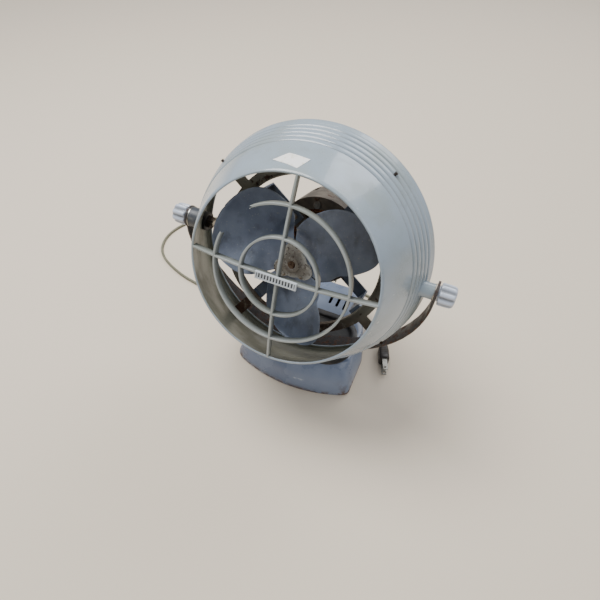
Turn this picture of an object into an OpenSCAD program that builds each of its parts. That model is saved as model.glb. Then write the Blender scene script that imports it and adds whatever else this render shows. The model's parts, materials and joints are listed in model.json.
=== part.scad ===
// Desk fan: a bell-shaped plastic drum with the fan and motor inside, tilting in a
// half-hoop yoke that swivels on a low enamelled base. Millimetres, +Z up, the front faces -Y.
// The origin is on the surface it stands on, straight below the tilt axis.

/* [Drum] */
// Outer radius of the drum at its front rim
front_r = 100; // [96:1:120]
// Largest outer radius of the drum, near its rear lip
rear_r = 134.6; // [125:0.2:165]
// Distance from the front rim to the rear shoulder
shoulder_s = 84; // [76:1:110]
// Thickness of the drum's wall
drum_wall = 2.5; // [1.5:0.1:4]
// How far the wall bulges beyond a straight cone
drum_bulge = 2; // [0:0.5:6]
// Radius of the round rear edge
lip_round = 5; // [3:0.5:6]
// Distance that the rear lip reaches inward from the shoulder
lip_width = 8; // [6:0.5:14]
// Distance from the front rim to the first raised rib
first_rib_s = 42; // [30:1:48]
// Number of raised ribs round the drum
rib_count = 5; // [1:1:6]
// Distance between ribs
rib_pitch = 7; // [4:0.5:7]
// Height of a rib
rib_height = 1; // [0.4:0.1:2]

/* [Grille] */
// Centre radius of the inner ring
inner_ring_r = 40.2; // [25:0.2:50]
// Centre radius of the outer ring
outer_ring_r = 70.8; // [60:0.2:80]
// Width of a grille bar
bar_width = 2.8; // [1.5:0.1:5]
// Front-to-back depth of a grille bar
bar_depth = 8; // [4:0.5:12]
// How far the middle of the grille stands forward of the rim
grille_dome = 10.9; // [4:0.1:20]
// Angle where the broken-out stretch of the outer ring begins
gap_start = 123; // [100:1:140]
// Angle where the broken-out stretch of the outer ring ends
gap_end = 160; // [145:1:175]
// Length of the badge strip
badge_length = 43; // [30:1:60]
// Height of the badge strip
badge_height = 8; // [5:0.5:12]

/* [Fan] */
// Gap between the blades' tips and the drum's front rim
tip_gap = 4.5; // [3:0.5:20]
// Half of a blade's width at its broadest
blade_half_w = 45; // [30:1:46]
// Pitch of a blade at its root, in degrees
root_pitch = 33; // [20:1:40]
// Pitch of a blade at its tip, in degrees
tip_pitch = 26; // [14:1:32]
// Thickness of a blade
blade_t = 1.5; // [1:0.1:3]
// Depth of a blade's hollow across its width
blade_camber = 3; // [0:0.5:6]
// Distance from the front rim to the hub plate's front face
hub_s = 32; // [30:1:36]
// Where the first blade stands, seen from the front
blade_angle = 37; // [0:1:119]
// Radius of the motor shaft
shaft_r = 4; // [3:0.1:5]

/* [Motor] */
// Outer radius of the motor can
motor_r = 51.5; // [42:0.1:62]
// Distance from the front rim to the front of the motor can
motor_s = 110; // [104:1:120]
// Length of the motor can
motor_length = 60; // [50:1:80]
// Inner radius of the support ring
ring_in_r = 84.5; // [78:0.5:88]
// Outer radius of the support ring
ring_out_r = 97; // [93:0.5:102]
// Distance from the front rim to the support ring's plate
ring_s = 68; // [64:1:74]

/* [Pivot] */
// Distance from the front rim back to the tilt axis
pivot_s = 69.5; // [64:0.5:74]
// How far the drum's front is tilted up
tilt_up = 21.3; // [0:0.1:40]
// Radius of the pivot studs
stud_r = 4; // [3:0.1:5]
// Radius of the left boss, between the drum and the yoke
boss_r = 11.5; // [9:0.5:13]
// Radius of the right boss
right_boss_r = 8.5; // [7:0.5:13]
// Outer radius of a knob
knob_r = 12; // [10:0.5:16]
// Length of a knob
knob_length = 17; // [12:0.5:24]

/* [Yoke] */
// Gap between the drum's widest edge and the half hoop
hoop_gap = 8.4; // [7:0.1:20]
// Drop of the hoop's centre below the tilt axis
hoop_drop = 5; // [0:0.5:8]
// Height of the saddle that holds the hoop above the base
saddle_rise = 9.5; // [6:0.5:40]
// Width of the hoop's strip
strip_w = 20; // [14:1:26]
// Thickness of the hoop's strip
strip_t = 2.5; // [2:0.1:4]

/* [Base] */
// Height of the enamelled shell
base_height = 43; // [38:0.5:60]
// Half of the base's width at the front corners
base_half_w = 81; // [75:1:110]
// Half of the base's width at the back
base_rear_half_w = 60; // [50:1:80]
// How far the bowed front reaches ahead of the tilt axis
base_front = 52; // [50:1:80]
// How far the base reaches behind the tilt axis
base_rear = 122; // [116:1:160]
// Thickness of the base's wall
base_wall = 2.2; // [1.5:0.1:4]
// Radius of the swivel bolt
swivel_r = 4; // [3:0.25:5]
// Diameter of the mains cord
cord_d = 4; // [3:0.25:5]

/* [Hidden] */
$fn = 96;

// shared clearances, and a length that reaches past whatever it cuts
run_gap = 0.05;
face_gap = 0.3;
beyond = 300;

// drum
lip_s = shoulder_s + lip_round;
rib_steps = 6;
wall_step = 6;

// grille and badge
grille_sphere_r = (front_r * front_r + grille_dome * grille_dome) / (2 * grille_dome);
badge_t = 2.2;
badge_z = -1;
flute_depth = 1;
flute_count = 13;
flute_margin = 1.2;

// support ring, whose tabs stand on the drum's wall
ring_t = 1.5;
ring_lip = 6;
tab_w = 12;
tab_angles = [55, 145, 235, 325];
foot_length = 9;
foot_t = 2;
foot_s = ring_s - foot_length / 2;
screw_r = 1.5;
screw_head_r = 2.6;
ring_head_r = 1.9;
ring_head_t = 0.6;

// arms that carry the motor from the ring
arm_w = 14;
arm_t = 2;
arm_foot = 15;
arm_head_r = 3.5;
arm_out_r = ring_in_r - 4;
arm_in_r = motor_r - 21.5;

// motor, its windows and long bolts set between the arms
can_t = 1.5;
front_t = 2.5;
bush_r = 9;
bush_length = 14;
bush_wall = 4;
rotor_r = 26;
air_gap = 0.5;
bolt_angles = [for (a = tab_angles) a + 45];
bolt_r = 2;
bolt_head = 4;
bolt_reach = motor_r - 9;
window_out_r = motor_r - 14;
window_in_r = bush_r + 9;
window_half = 28;
slot_w = 6;
slot_length = 14;
winding_r = 5;
winding_reach = rotor_r + 8;
stack_s = motor_s + 14;
stack_length = motor_length - 30;
motor_end_s = motor_s + motor_length;
arm_rear_s = motor_s - front_t - arm_t;

// fan wheel
blade_r = front_r - drum_wall - tip_gap;
shaft_start_s = hub_s - 4;
hub_boss_r = 10;
hub_boss_length = 20;
hub_flange_r = 19;
hub_flange_t = 2;
hub_plate_t = 2;
hub_screw_r = 2;
lobe_reach = 14;
lobe_r = 9;
rivet_r = 1.6;
rivet_reach = 16.5;
rivet_angle = 35;
blade_root_r = 10;
blade_root_w = 12;
blade_flat_r = 23;
blade_full_r = 42;
broadest = 0.58;
flange_s = hub_s + hub_plate_t + blade_t;
hub_screw_s = flange_s + 11;

// base
pad_t = 1.5;
plate_t = 1.5;
shell_low = 1;
foot_top = 4;
flange_t = 1.5;
flange_w = 4;
dish_depth = 3;
dish_t = 2;
corner_front_r = 9;
corner_rear_r = 24;
front_set = 20;
side_run = 55;
top_half_w = base_half_w - 10;
top_front = base_front - 21;
top_rear = base_rear - 10;
top_rear_half_w = base_rear_half_w - 8;
opening_half_w = top_half_w - 6;
opening_front = top_front - 6;
opening_rear = 52;
opening_corner = 30;
vent_w = 4;
vent_length = 18;
vent_pitch = 11;
post_r = 5;
post_low = pad_t + plate_t;
front_post_x = opening_half_w - 15;
front_post_y = 11 - opening_front;
rear_post_x = base_rear_half_w - 20;
rear_post_y = base_rear - 25;
post_screw = 9;
dish_z = base_height - dish_depth;
saddle_z = dish_z + face_gap;

// yoke and swivel, measured up from the surface
hoop_r = rear_r + hoop_gap;
hoop_bottom = dish_z + saddle_rise;
hoop_z = hoop_bottom + strip_t + hoop_r;
pivot_h = hoop_z + hoop_drop;
saddle_r = 20;
saddle_grip = 6;
bolt_head_r = 8;
bolt_head_t = 4;
swivel_nut_t = 6.5;
swivel_washer_r = 10;
swivel_washer_t = 1.5;
swivel_end = 12;

// pivot, measured outward along the tilt axis
yoke_in_x = hoop_r;
yoke_out_x = yoke_in_x + strip_t;
washer_t = 1;
washer_gap = 0.5;
boss_out_x = yoke_in_x - washer_gap - washer_t;
eye_r = knob_r + 0.5;
knob_collar = 1.5;
knob_neck_r = knob_r - 3.5;
knob_end_t = 4;
knob_x = yoke_out_x + face_gap + knob_collar;
stud_end_x = knob_x + knob_length - knob_end_t;
lobes = 8;
lobe_cut_r = 2.4;
nut_t = 5;
nut_r = 7.5;
grommet_r = 10.5;
grommet_t = 3;

// switch at the back
switch_z = 22;
switch_box = 22;
switch_half_w = 9;
switch_neck_r = 5.8;
switch_bore_r = 4;
ball_r = 3.2;
ball_in = 3;
toggle_r = 1.6;
toggle_length = 12;
toggle_end_r = 2.6;
toggle_tilt = 15;
pin_half = 3.4;

// cord, strain relief and plug
gland_y = 45;
gland_z = 10;
gland_stand = 3.8;
gland_hole_r = 5;
relief_length = 26;
relief_body_r = 4.9;
relief_flange_r = 7;
relief_tip_wall = 1.2;
coil_centre = [-50, 186];
coil_in_r = 14;
coil_out_r = 32;
coil_h = 8.3;
cord_low = 0.2;
plug_x = 110;
plug_y = 31;
plug_turn = 20;
plug_low = 0.4;
plug_t = 14;
plug_w = 20;
plug_length = 22;
plug_neck = 6;
plug_nose = 6;
plug_nose_r = 3.6;
contact_w = 6.35;
contact_t = 1.5;
contact_length = 17.5;
contact_gap = 12.7;

// the cord's route on the surface: from the strain relief, round the free loop at the
// left to the far side of the coil, then from the coil to the plug
route_a = [[-106, 45, 10], [-115, 45, 9.4], [-130, 45, 7], [-148, 45.5, 4], [-166, 48, 2.4],
    [-186, 53, 2.2], [-206, 57, 2.2], [-226, 61, 2.2], [-245, 67, 2.2], [-264, 75, 2.2],
    [-281, 85, 2.2], [-295, 99, 2.2], [-303, 117, 2.2], [-305, 137, 2.2], [-301, 157, 2.2],
    [-292, 175, 2.2], [-279, 190, 2.2], [-263, 202, 2.2], [-245, 211, 2.2], [-225, 217, 2.2],
    [-204, 220, 2.2], [-182, 221, 2.2], [-160, 220, 2.2], [-138, 218, 2.2], [-116, 216.5, 2.2],
    [-94, 216, 2.2], [-74, 216, 2.2], [-62, 216, 2.2]];
route_b = [[-20, 174, 6], [-20, 164, 4.2], [-17, 153, 2.6], [-8, 145, 2.2], [5, 141, 2.2],
    [20, 141, 2.2], [36, 143, 2.2], [51, 143, 2.2], [65, 138, 2.2], [75, 129, 2.2],
    [82, 117, 2.6], [87, 103, 4.4], [91, 88, 7.4], [94.7, 73.1, 10], [98.4, 63, 10.4]];

// helpers

function ramp(a, b, t) = a + (b - a) * t;

function arc(cx, cy, r, a0, a1, steps) =
    [for (i = [0:steps]) [cx + r * cos(ramp(a0, a1, i / steps)), cy + r * sin(ramp(a0, a1, i / steps))]];

// outer radius of the drum, ribs left out, at a distance s behind the front rim
function drum_r(s) =
    ramp(front_r, rear_r, s / shoulder_s) + drum_bulge * sin(180 * s / shoulder_s);

// outline of the drum's outside, front to back, with its ribs and its round rear edge
function outer_line() = concat(
    [for (s = [0:wall_step:first_rib_s - 0.01]) [drum_r(s), s]],
    [for (i = [0:rib_count * rib_steps])
        let (s = first_rib_s + rib_pitch * i / rib_steps)
        [drum_r(s) + rib_height * abs(sin(180 * i / rib_steps)), s]],
    arc(rear_r - lip_round, shoulder_s, lip_round, 0, 90, 8));

// outline of the drum's inside, back to front
function inner_line() = concat(
    [[rear_r - lip_width, lip_s], [rear_r - lip_width, lip_s - drum_wall]],
    [for (s = [shoulder_s - 2:-wall_step:1]) [drum_r(s) - drum_wall, s]],
    [[front_r - drum_wall, 0]]);

module spin_profile(points) rotate([-90, 0, 0]) rotate_extrude($fn = 180) polygon(points);

// a disc or cylinder along the drum's axis, from a distance s behind the rim
module along_axis(s, r, length) translate([0, s, 0]) rotate([-90, 0, 0]) cylinder(r = r, h = length);

// what lies inside the drum's wall
module drum_inside()
    spin_profile(concat([[0, -40], [front_r - drum_wall, -40]],
        [for (i = [len(inner_line()) - 1:-1:2]) inner_line()[i]],
        [[drum_r(lip_s) - drum_wall, lip_s], [0, lip_s]]));

// everything within the drum's outer face
module drum_outside()
    spin_profile(concat([[0, 0]], outer_line(), [[0, lip_s]]));

// a flat shape, drawn as the front shows it, made solid from s forward
module facing(s, thickness) translate([0, s, 0]) rotate([90, 0, 0]) linear_extrude(thickness) children();

// puts what is drawn on the drum's own axes where the tilted drum stands
module in_head() translate([0, 0, pivot_h]) rotate([-tilt_up, 0, 0]) translate([0, -pivot_s, 0]) children();

// a cylinder along the tilt axis, between two distances from the middle; side is 1 or -1
module along_pivot(side, x0, x1, r) translate([0, pivot_s, 0]) rotate([0, side * 90, 0])
    translate([0, 0, x0]) cylinder(r = r, h = x1 - x0);

// the bore that both studs share, from well inside the drum to well outside
module pivot_bore(r) translate([-beyond, pivot_s, 0]) rotate([0, 90, 0]) cylinder(r = r, h = 2 * beyond);

module hex_along_pivot(side, x0, x1, r) translate([0, pivot_s, 0]) rotate([0, side * 90, 0])
    translate([0, 0, x0]) cylinder(r = r, h = x1 - x0, $fn = 6);

module around(angles) for (a = angles) rotate([0, -a, 0]) children();

// drum

module drum_shell() color("#a9b8c4") in_head() difference() {
    spin_profile(concat(outer_line(), inner_line()));
    pivot_bore(stud_r + run_gap);
    around(tab_angles) tab_hole();
}

// the sphere that the bars' front faces lie on, moved back by a distance
module dome(back) translate([0, grille_sphere_r - grille_dome + back, 0])
    sphere(r = grille_sphere_r, $fn = 180);

module ring_2d(r, w) difference() {
    circle(r = r + w / 2);
    circle(r = r - w / 2);
}

module sector_2d(a0, a1, r)
    polygon(concat([[0, 0]], [for (i = [0:6]) r * [cos(ramp(a0, a1, i / 6)), sin(ramp(a0, a1, i / 6))]]));

module front_grille() color("#a7b4bc") in_head() intersection() {
    facing(2 * bar_depth, 4 * bar_depth) {
        square([2 * front_r, bar_width], center = true);
        square([bar_width, 2 * front_r], center = true);
        ring_2d(inner_ring_r, bar_width);
        difference() {
            ring_2d(outer_ring_r, bar_width);
            sector_2d(gap_start, gap_end, front_r);
        }
    }
    difference() {
        dome(0);
        dome(bar_depth);
    }
    drum_inside();
}

module badge_plate() color("#c9d3da") in_head() translate([0, 0, badge_z]) difference() {
    facing(-grille_dome, badge_t) square([badge_length, badge_height], center = true);
    facing(-grille_dome - badge_t + flute_depth, beyond) for (i = [1:flute_count])
        translate([(i / (flute_count + 1) - 0.5) * badge_length, 0])
            square([badge_length / (flute_count + 1) / 2.5, badge_height - 2 * flute_margin], center = true);
}

// motor and its mounting

foot_r = drum_r(ring_s - foot_length) - drum_wall - foot_t;

module tab_hole() translate([ring_out_r, foot_s, 0]) rotate([0, 90, 0])
    cylinder(r = screw_r + run_gap, h = beyond);

module support_ring() color("#6e6255") in_head() {
    spin_profile([[ring_in_r, ring_s], [ring_out_r, ring_s], [ring_out_r, ring_s - ring_t],
        [ring_in_r + ring_t, ring_s - ring_t], [ring_in_r + ring_t, ring_s - ring_lip],
        [ring_in_r, ring_s - ring_lip]]);
    difference() {
        intersection() {
            around(tab_angles) {
                translate([ring_out_r - 1, ring_s - ring_t, -tab_w / 2]) cube([rear_r, ring_t, tab_w]);
                translate([foot_r, ring_s - foot_length, -tab_w / 2]) cube([rear_r, foot_length, tab_w]);
            }
            drum_inside();
        }
        around(tab_angles) tab_hole();
    }
}

module ring_screws() color("#4a4440") in_head() around(tab_angles)
    translate([0, foot_s, 0]) rotate([0, 90, 0]) translate([0, 0, drum_r(ring_s) + rib_height]) {
        cylinder(r = ring_head_r, h = ring_head_t);
        translate([0, 0, -8]) cylinder(r = screw_r, h = 8.1);
    }

module motor_arms() color("#6b7688") in_head() around(tab_angles) {
    translate([arm_out_r, ring_s, -arm_w / 2]) cube([arm_foot, arm_t, arm_w]);
    translate([arm_out_r, ring_s, -arm_w / 2]) cube([arm_t, arm_rear_s - ring_s + arm_t, arm_w]);
    translate([arm_in_r, arm_rear_s, -arm_w / 2]) cube([arm_out_r - arm_in_r + arm_t / 2, arm_t, arm_w]);
}

module arm_screws() color("#b0aca4") in_head() around(tab_angles) {
    translate([arm_out_r + arm_foot - 4, ring_s + arm_t, 0]) rotate([-90, 0, 0])
        cylinder(r = arm_head_r, h = 2);
    translate([arm_in_r + 8, arm_rear_s, 0]) rotate([90, 0, 0]) cylinder(r = arm_head_r, h = 2);
}

// a cylinder of the long bolts' pattern
module at_bolts(s, r, length) around(bolt_angles)
    translate([bolt_reach, s, 0]) rotate([-90, 0, 0]) cylinder(r = r, h = length);

module motor_front() color("#6f6456") in_head() difference() {
    union() {
        along_axis(motor_s - front_t, motor_r, front_t);
        along_axis(motor_s - front_t - 6, bush_r + bush_wall, bush_length);
    }
    along_axis(hub_s, bush_r, motor_length + motor_s);
    for (a = bolt_angles) facing(motor_s + 1, 4 + front_t) intersection() {
        difference() {
            circle(r = window_out_r);
            circle(r = window_in_r);
        }
        sector_2d(a - window_half, a + window_half, motor_r);
    }
    at_bolts(motor_s - 2 * front_t, bolt_r + run_gap, 4 * front_t);
}

module motor_can() color("#6a6156") in_head() difference() {
    along_axis(motor_s, motor_r, motor_length);
    along_axis(motor_s - 1, motor_r - can_t, motor_length + 1 - can_t);
    along_axis(motor_s, bush_r, 2 * motor_length);
    at_bolts(motor_s, bolt_r + run_gap, 2 * motor_length);
    around([0:60:300]) translate([motor_r, motor_end_s - slot_length, 0])
        cube([4 * can_t, slot_length, slot_w], center = true);
}

module stator_core() color("#7d7a74") in_head() difference() {
    along_axis(stack_s, motor_r - can_t, stack_length);
    along_axis(stack_s - 1, rotor_r + air_gap, stack_length + 2);
    at_bolts(stack_s - 1, bolt_r + run_gap, stack_length + 2);
}

module winding(s) translate([0, s, 0]) rotate([-90, 0, 0]) rotate_extrude()
    translate([winding_reach, winding_r]) circle(r = winding_r, $fn = 24);

module stator_coils() color("#8a5a35") in_head() {
    winding(stack_s - 2 * winding_r);
    winding(stack_s + stack_length);
}

module through_bolts() color("#9a968e") in_head() {
    at_bolts(motor_s - front_t - 3, bolt_head, 3);
    at_bolts(motor_s - front_t - 1, bolt_r, motor_length + front_t + 3);
    at_bolts(motor_end_s, bolt_head, 3);
}

module bush(s) difference() {
    along_axis(s, bush_r, bush_length);
    along_axis(s - 1, shaft_r + run_gap, bush_length + 2);
}

module front_bush() color("#a07c45") in_head() bush(motor_s - front_t - 6);

module rear_bush() color("#a07c45") in_head() {
    bush(motor_end_s - bush_length);
    difference() {
        along_axis(motor_end_s, bush_r + bush_wall, 5);
        along_axis(motor_end_s - 1, shaft_r + 1, 3);
    }
}

module rotor() color("#8b8b88") in_head() difference() {
    along_axis(stack_s, rotor_r, stack_length);
    along_axis(stack_s - 1, shaft_r, stack_length + 2);
}

module shaft() color("#b4b4b0") in_head()
    along_axis(shaft_start_s, shaft_r, motor_end_s + 1 - shaft_start_s);

// fan wheel

module hub_boss() color("#8f8a80") in_head() difference() {
    union() {
        along_axis(flange_s, hub_flange_r, hub_flange_t);
        along_axis(flange_s, hub_boss_r, hub_boss_length);
    }
    along_axis(hub_s, shaft_r, 2 * hub_boss_length);
    translate([0, hub_screw_s, 0]) cylinder(r = hub_screw_r, h = hub_boss_length);
}

module hub_screw() color("#4f4b47") in_head()
    translate([0, hub_screw_s, shaft_r]) cylinder(r = hub_screw_r - run_gap, h = hub_boss_r - shaft_r - 1);

module hub_plate() color("#a8a294") in_head() difference() {
    facing(hub_s + hub_plate_t, hub_plate_t) rotate(blade_angle + 60) {
        circle(r = lobe_reach + 2);
        for (k = [0:2]) rotate(120 * k) translate([lobe_reach, 0]) circle(r = lobe_r);
    }
    along_axis(shaft_start_s, shaft_r, hub_boss_length);
}

// half width of a blade at a fraction u of its length: narrow at the root, round at the tip
function blade_w(u) = u < broadest
    ? ramp(blade_root_w, blade_half_w, sin(90 * u / broadest))
    : blade_half_w * sqrt(max(0, 1 - pow((u - broadest) / (1 - broadest), 3)));

// a point on a blade's face: u along it, v from -1 to 1 across it, side 0 front or 1 back
function blade_point(u, v, side) = let (
    r = ramp(blade_root_r, blade_r, u),
    pitch = ramp(root_pitch, tip_pitch, u),
    across = blade_w(u) * v,
    lift = min(1, max(0, (r - blade_flat_r) / (blade_full_r - blade_flat_r))),
    x = sqrt(max(1, r * r - pow(across * cos(pitch) * 0.75, 2))),
    rise = (across * sin(pitch) - blade_camber * (1 - v * v)) * lift)
    [x, hub_s + hub_plate_t + side * blade_t - rise, across * cos(pitch * lift)];

// the lengthwise steps close up towards the round tip
module blade(k) {
    nu = 22;
    nv = 14;
    us = [for (i = [0:nu]) 0.985 * (i < nu / 2 ? i / nu : 1 - 0.5 * pow(2 * (1 - i / nu), 1.6))];
    points = [for (side = [0, 1]) for (u = us) for (j = [0:nv]) blade_point(u, 2 * j / nv - 1, side)];
    function id(side, i, j) = side * (nu + 1) * (nv + 1) + i * (nv + 1) + j;
    front = [for (i = [0:nu - 1]) for (j = [0:nv - 1])
        [id(0, i, j), id(0, i, j + 1), id(0, i + 1, j + 1), id(0, i + 1, j)]];
    back = [for (i = [0:nu - 1]) for (j = [0:nv - 1])
        [id(1, i + 1, j), id(1, i + 1, j + 1), id(1, i, j + 1), id(1, i, j)]];
    long_edges = [for (i = [0:nu - 1]) for (j = [0, nv]) let (
        a = j == 0 ? 0 : 1,
        b = 1 - a)
        [id(a, i, j), id(a, i + 1, j), id(b, i + 1, j), id(b, i, j)]];
    end_edges = [for (j = [0:nv - 1]) for (i = [0, nu]) let (
        a = i == 0 ? 1 : 0,
        b = 1 - a)
        [id(a, i, j), id(a, i, j + 1), id(b, i, j + 1), id(b, i, j)]];
    quads = concat(front, back, long_edges, end_edges);
    triangles = [for (q = quads) each [[q[0], q[1], q[2]], [q[0], q[2], q[3]]]];
    rotate([0, -blade_angle - 120 * k, 0]) polyhedron(points, triangles);
}

module blade_1() color("#5a626e") in_head() blade(0);
module blade_2() color("#5a626e") in_head() blade(1);
module blade_3() color("#5a626e") in_head() blade(2);

module blade_rivets() color("#8d8a86") in_head()
    around([for (k = [0:2]) for (side = [-1, 1]) blade_angle + 120 * k + side * rivet_angle])
    translate([rivet_reach, hub_s, 0]) rotate([90, 0, 0]) cylinder(r = rivet_r, h = 1);

// pivots

inner_wall_x = drum_r(pivot_s - grommet_r) - drum_wall;
inner_nut_x = inner_wall_x - grommet_t - nut_t;

module boss(side, r) difference() {
    along_pivot(side, inner_wall_x, boss_out_x, r);
    drum_outside();
    pivot_bore(stud_r);
}

module right_boss() color("#b3bec4") in_head() boss(1, right_boss_r);
module left_boss() color("#3f4348") in_head() boss(-1, boss_r);

module stud(side) along_pivot(side, inner_nut_x - 2, stud_end_x, stud_r);

module right_stud() color("#8f8f8c") in_head() stud(1);
module left_stud() color("#8f8f8c") in_head() stud(-1);

module pivot_grommets() color("#1d1d1f") in_head() intersection() {
    for (side = [-1, 1]) difference() {
        along_pivot(side, inner_nut_x + nut_t, rear_r, grommet_r);
        pivot_bore(stud_r);
    }
    drum_inside();
}

module pivot_nuts() color("#2b2a2a") in_head() for (side = [-1, 1]) difference() {
    hex_along_pivot(side, inner_nut_x, inner_nut_x + nut_t, nut_r);
    pivot_bore(stud_r);
}

module pivot_washers() color("#c4c6c6") in_head() for (side = [-1, 1]) difference() {
    along_pivot(side, boss_out_x, boss_out_x + washer_t, (side > 0 ? right_boss_r : boss_r) + 0.5);
    pivot_bore(stud_r);
}

module knob(side) translate([0, pivot_s, 0]) rotate([0, side * 90, 0]) difference() {
    union() {
        translate([0, 0, knob_x - knob_collar]) cylinder(r = knob_neck_r, h = knob_collar);
        translate([0, 0, knob_x]) linear_extrude(knob_length) difference() {
            circle(r = knob_r);
            for (i = [0:lobes - 1]) rotate(360 * i / lobes) translate([knob_r + 0.9, 0])
                circle(r = lobe_cut_r);
        }
    }
    translate([0, 0, yoke_out_x]) cylinder(r = stud_r + run_gap, h = stud_end_x + 0.5 - yoke_out_x);
}

module right_knob() color("#d3dae6") in_head() knob(1);
module left_knob() color("#d3dae6") in_head() knob(-1);

// yoke

module yoke_hoop() color("#3c3532") translate([0, -strip_w / 2, 0]) difference() {
    union() {
        translate([0, 0, hoop_z]) rotate([-90, 0, 0]) difference() {
            cylinder(r = hoop_r + strip_t, h = strip_w, $fn = 240);
            translate([0, 0, -1]) cylinder(r = hoop_r, h = strip_w + 2, $fn = 240);
            translate([-beyond, -beyond, -1]) cube([2 * beyond, beyond, strip_w + 2]);
        }
        for (side = [-1, 1]) translate([side * (hoop_r + strip_t / 2), strip_w / 2, 0]) {
            translate([-strip_t / 2, -strip_w / 2, hoop_z]) cube([strip_t, strip_w, hoop_drop]);
            translate([0, 0, pivot_h]) rotate([0, 90, 0]) cylinder(r = eye_r, h = strip_t, center = true);
        }
    }
    translate([-beyond, strip_w / 2, pivot_h]) rotate([0, 90, 0])
        cylinder(r = stud_r + run_gap, h = 2 * beyond);
    translate([0, strip_w / 2, dish_z]) cylinder(r = swivel_r, h = 2 * saddle_rise);
}

module swivel_saddle() color("#54504c") difference() {
    translate([0, 0, saddle_z]) cylinder(r = saddle_r, h = saddle_rise + saddle_grip - face_gap);
    translate([0, -beyond, hoop_z]) rotate([-90, 0, 0])
        cylinder(r = hoop_r + strip_t, h = 2 * beyond, $fn = 240);
    translate([0, 0, saddle_z - 1]) cylinder(r = swivel_r, h = 2 * saddle_rise);
}

module swivel_bolt() color("#8c8a86") {
    translate([0, 0, hoop_bottom + strip_t + face_gap]) cylinder(r = bolt_head_r, h = bolt_head_t, $fn = 6);
    translate([0, 0, dish_z - dish_t - swivel_end])
        cylinder(r = swivel_r, h = saddle_rise + strip_t + 2 * face_gap + swivel_end + dish_t);
}

module swivel_nut() color("#8c8a86") translate([0, 0, dish_z - dish_t - face_gap]) difference() {
    union() {
        translate([0, 0, -swivel_washer_t]) cylinder(r = swivel_washer_r, h = swivel_washer_t);
        translate([0, 0, -swivel_washer_t - swivel_nut_t]) cylinder(r = nut_r, h = swivel_nut_t, $fn = 6);
    }
    translate([0, 0, -swivel_end]) cylinder(r = swivel_r, h = 2 * swivel_end);
}

// base

// outline of the base in plan: bowed front, straight sides that draw in, round rear corners
function base_outline(half_w, front, rear, rear_half_w, cf, cr) = let (
    flat = half_w - cf,
    side_y = front_set - front,
    bow_depth = 0.9 * (front_set - cf / 2),
    bow = [for (i = [-7:7]) [flat * i / 7, bow_depth * pow(i / 7, 2) - front]])
    concat(bow,
        arc(flat, side_y + cf / 2, cf, -50, 0, 5),
        [[half_w, side_y + side_run]],
        arc(rear_half_w - cr + 4, rear - cr, cr, 12, 90, 8),
        arc(cr - 4 - rear_half_w, rear - cr, cr, 90, 168, 8),
        [[-half_w, side_y + side_run]],
        arc(-flat, side_y + cf / 2, cf, 180, 230, 5));

// half width of the base's foot at a place on the stretch where its side draws in
function side_x(y) = let (
    start = front_set - base_front + side_run,
    end = base_rear - corner_rear_r)
    ramp(base_half_w, base_rear_half_w + 4, (y - start) / (end - start));

// the outline pulled in all round, with a share t of the way from the foot to the top
module base_plan(t, inset) polygon(base_outline(
    ramp(base_half_w, top_half_w, t) - inset, ramp(base_front, top_front, t) - inset,
    ramp(base_rear, top_rear, t) - inset, ramp(base_rear_half_w, top_rear_half_w, t) - inset,
    corner_front_r, corner_rear_r));

module base_slab(z, h, t, inset) translate([0, 0, z]) linear_extrude(h) base_plan(t, inset);

module base_form(inset, low, drop) hull() {
    base_slab(low, foot_top - low, 0, inset);
    base_slab(base_height - 12, 1, 0.55, inset);
    base_slab(base_height - 5, 1, 0.82, inset);
    base_slab(base_height - 2 - drop, 2, 1, inset + 1.5);
}

module opening_2d(grow) translate([0, (opening_rear - opening_front) / 2])
    offset(r = opening_corner + grow) square([2 * (opening_half_w - opening_corner),
        opening_front + opening_rear - 2 * opening_corner], center = true);

module vent_slots() for (side = [-1, 1]) for (i = [0:2])
    translate([side * (12 + vent_pitch * i), opening_rear + 30 - 2 * i, base_height - 10])
    linear_extrude(beyond) {
        square([vent_w, vent_length], center = true);
        for (end = [-1, 1]) translate([0, end * vent_length / 2]) circle(d = vent_w);
    }

// where the four screws of the bottom cover go in
module at_front_posts() for (side = [-1, 1]) translate([side * front_post_x, front_post_y, 0]) children();

module at_rear_posts() for (side = [-1, 1]) translate([side * rear_post_x, rear_post_y, 0]) children();

module at_posts() {
    at_front_posts() children();
    at_rear_posts() children();
}

module base_shell() color("#66758a") difference() {
    base_form(0, shell_low, 0);
    base_form(base_wall, 0, base_wall);
    translate([0, 0, base_height - 10]) linear_extrude(beyond) opening_2d(0);
    vent_slots();
    translate([gland_x - 20, gland_y, gland_z]) rotate([0, 90, 0]) cylinder(r = gland_hole_r, h = 40);
    translate([0, base_rear - 20, switch_z]) rotate([-90, 0, 0])
        cylinder(r = switch_neck_r + face_gap, h = 40);
}

// the front pair holds the top plate's dish, the rear pair the shell's roof
module base_posts() color("#66758a") difference() {
    union() {
        at_front_posts() translate([0, 0, post_low]) cylinder(r = post_r, h = dish_z - dish_t - post_low);
        at_rear_posts() translate([0, 0, post_low])
            cylinder(r = post_r, h = base_height - base_wall - post_low);
    }
    at_posts() cylinder(r = screw_r, h = post_low + post_screw + 3);
}

module top_plate() color("#232426") difference() {
    union() {
        translate([0, 0, base_height]) linear_extrude(flange_t) opening_2d(flange_w);
        translate([0, 0, dish_z - dish_t]) linear_extrude(dish_depth + dish_t + 0.1) opening_2d(-0.3);
    }
    translate([0, 0, dish_z]) linear_extrude(beyond) opening_2d(-5);
    cylinder(r = swivel_r + run_gap, h = beyond);
}

module bottom_plate() color("#3a3836") difference() {
    translate([0, 0, pad_t]) linear_extrude(plate_t) base_plan(0, base_wall + face_gap);
    at_posts() cylinder(r = screw_r + run_gap, h = beyond);
}

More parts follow.
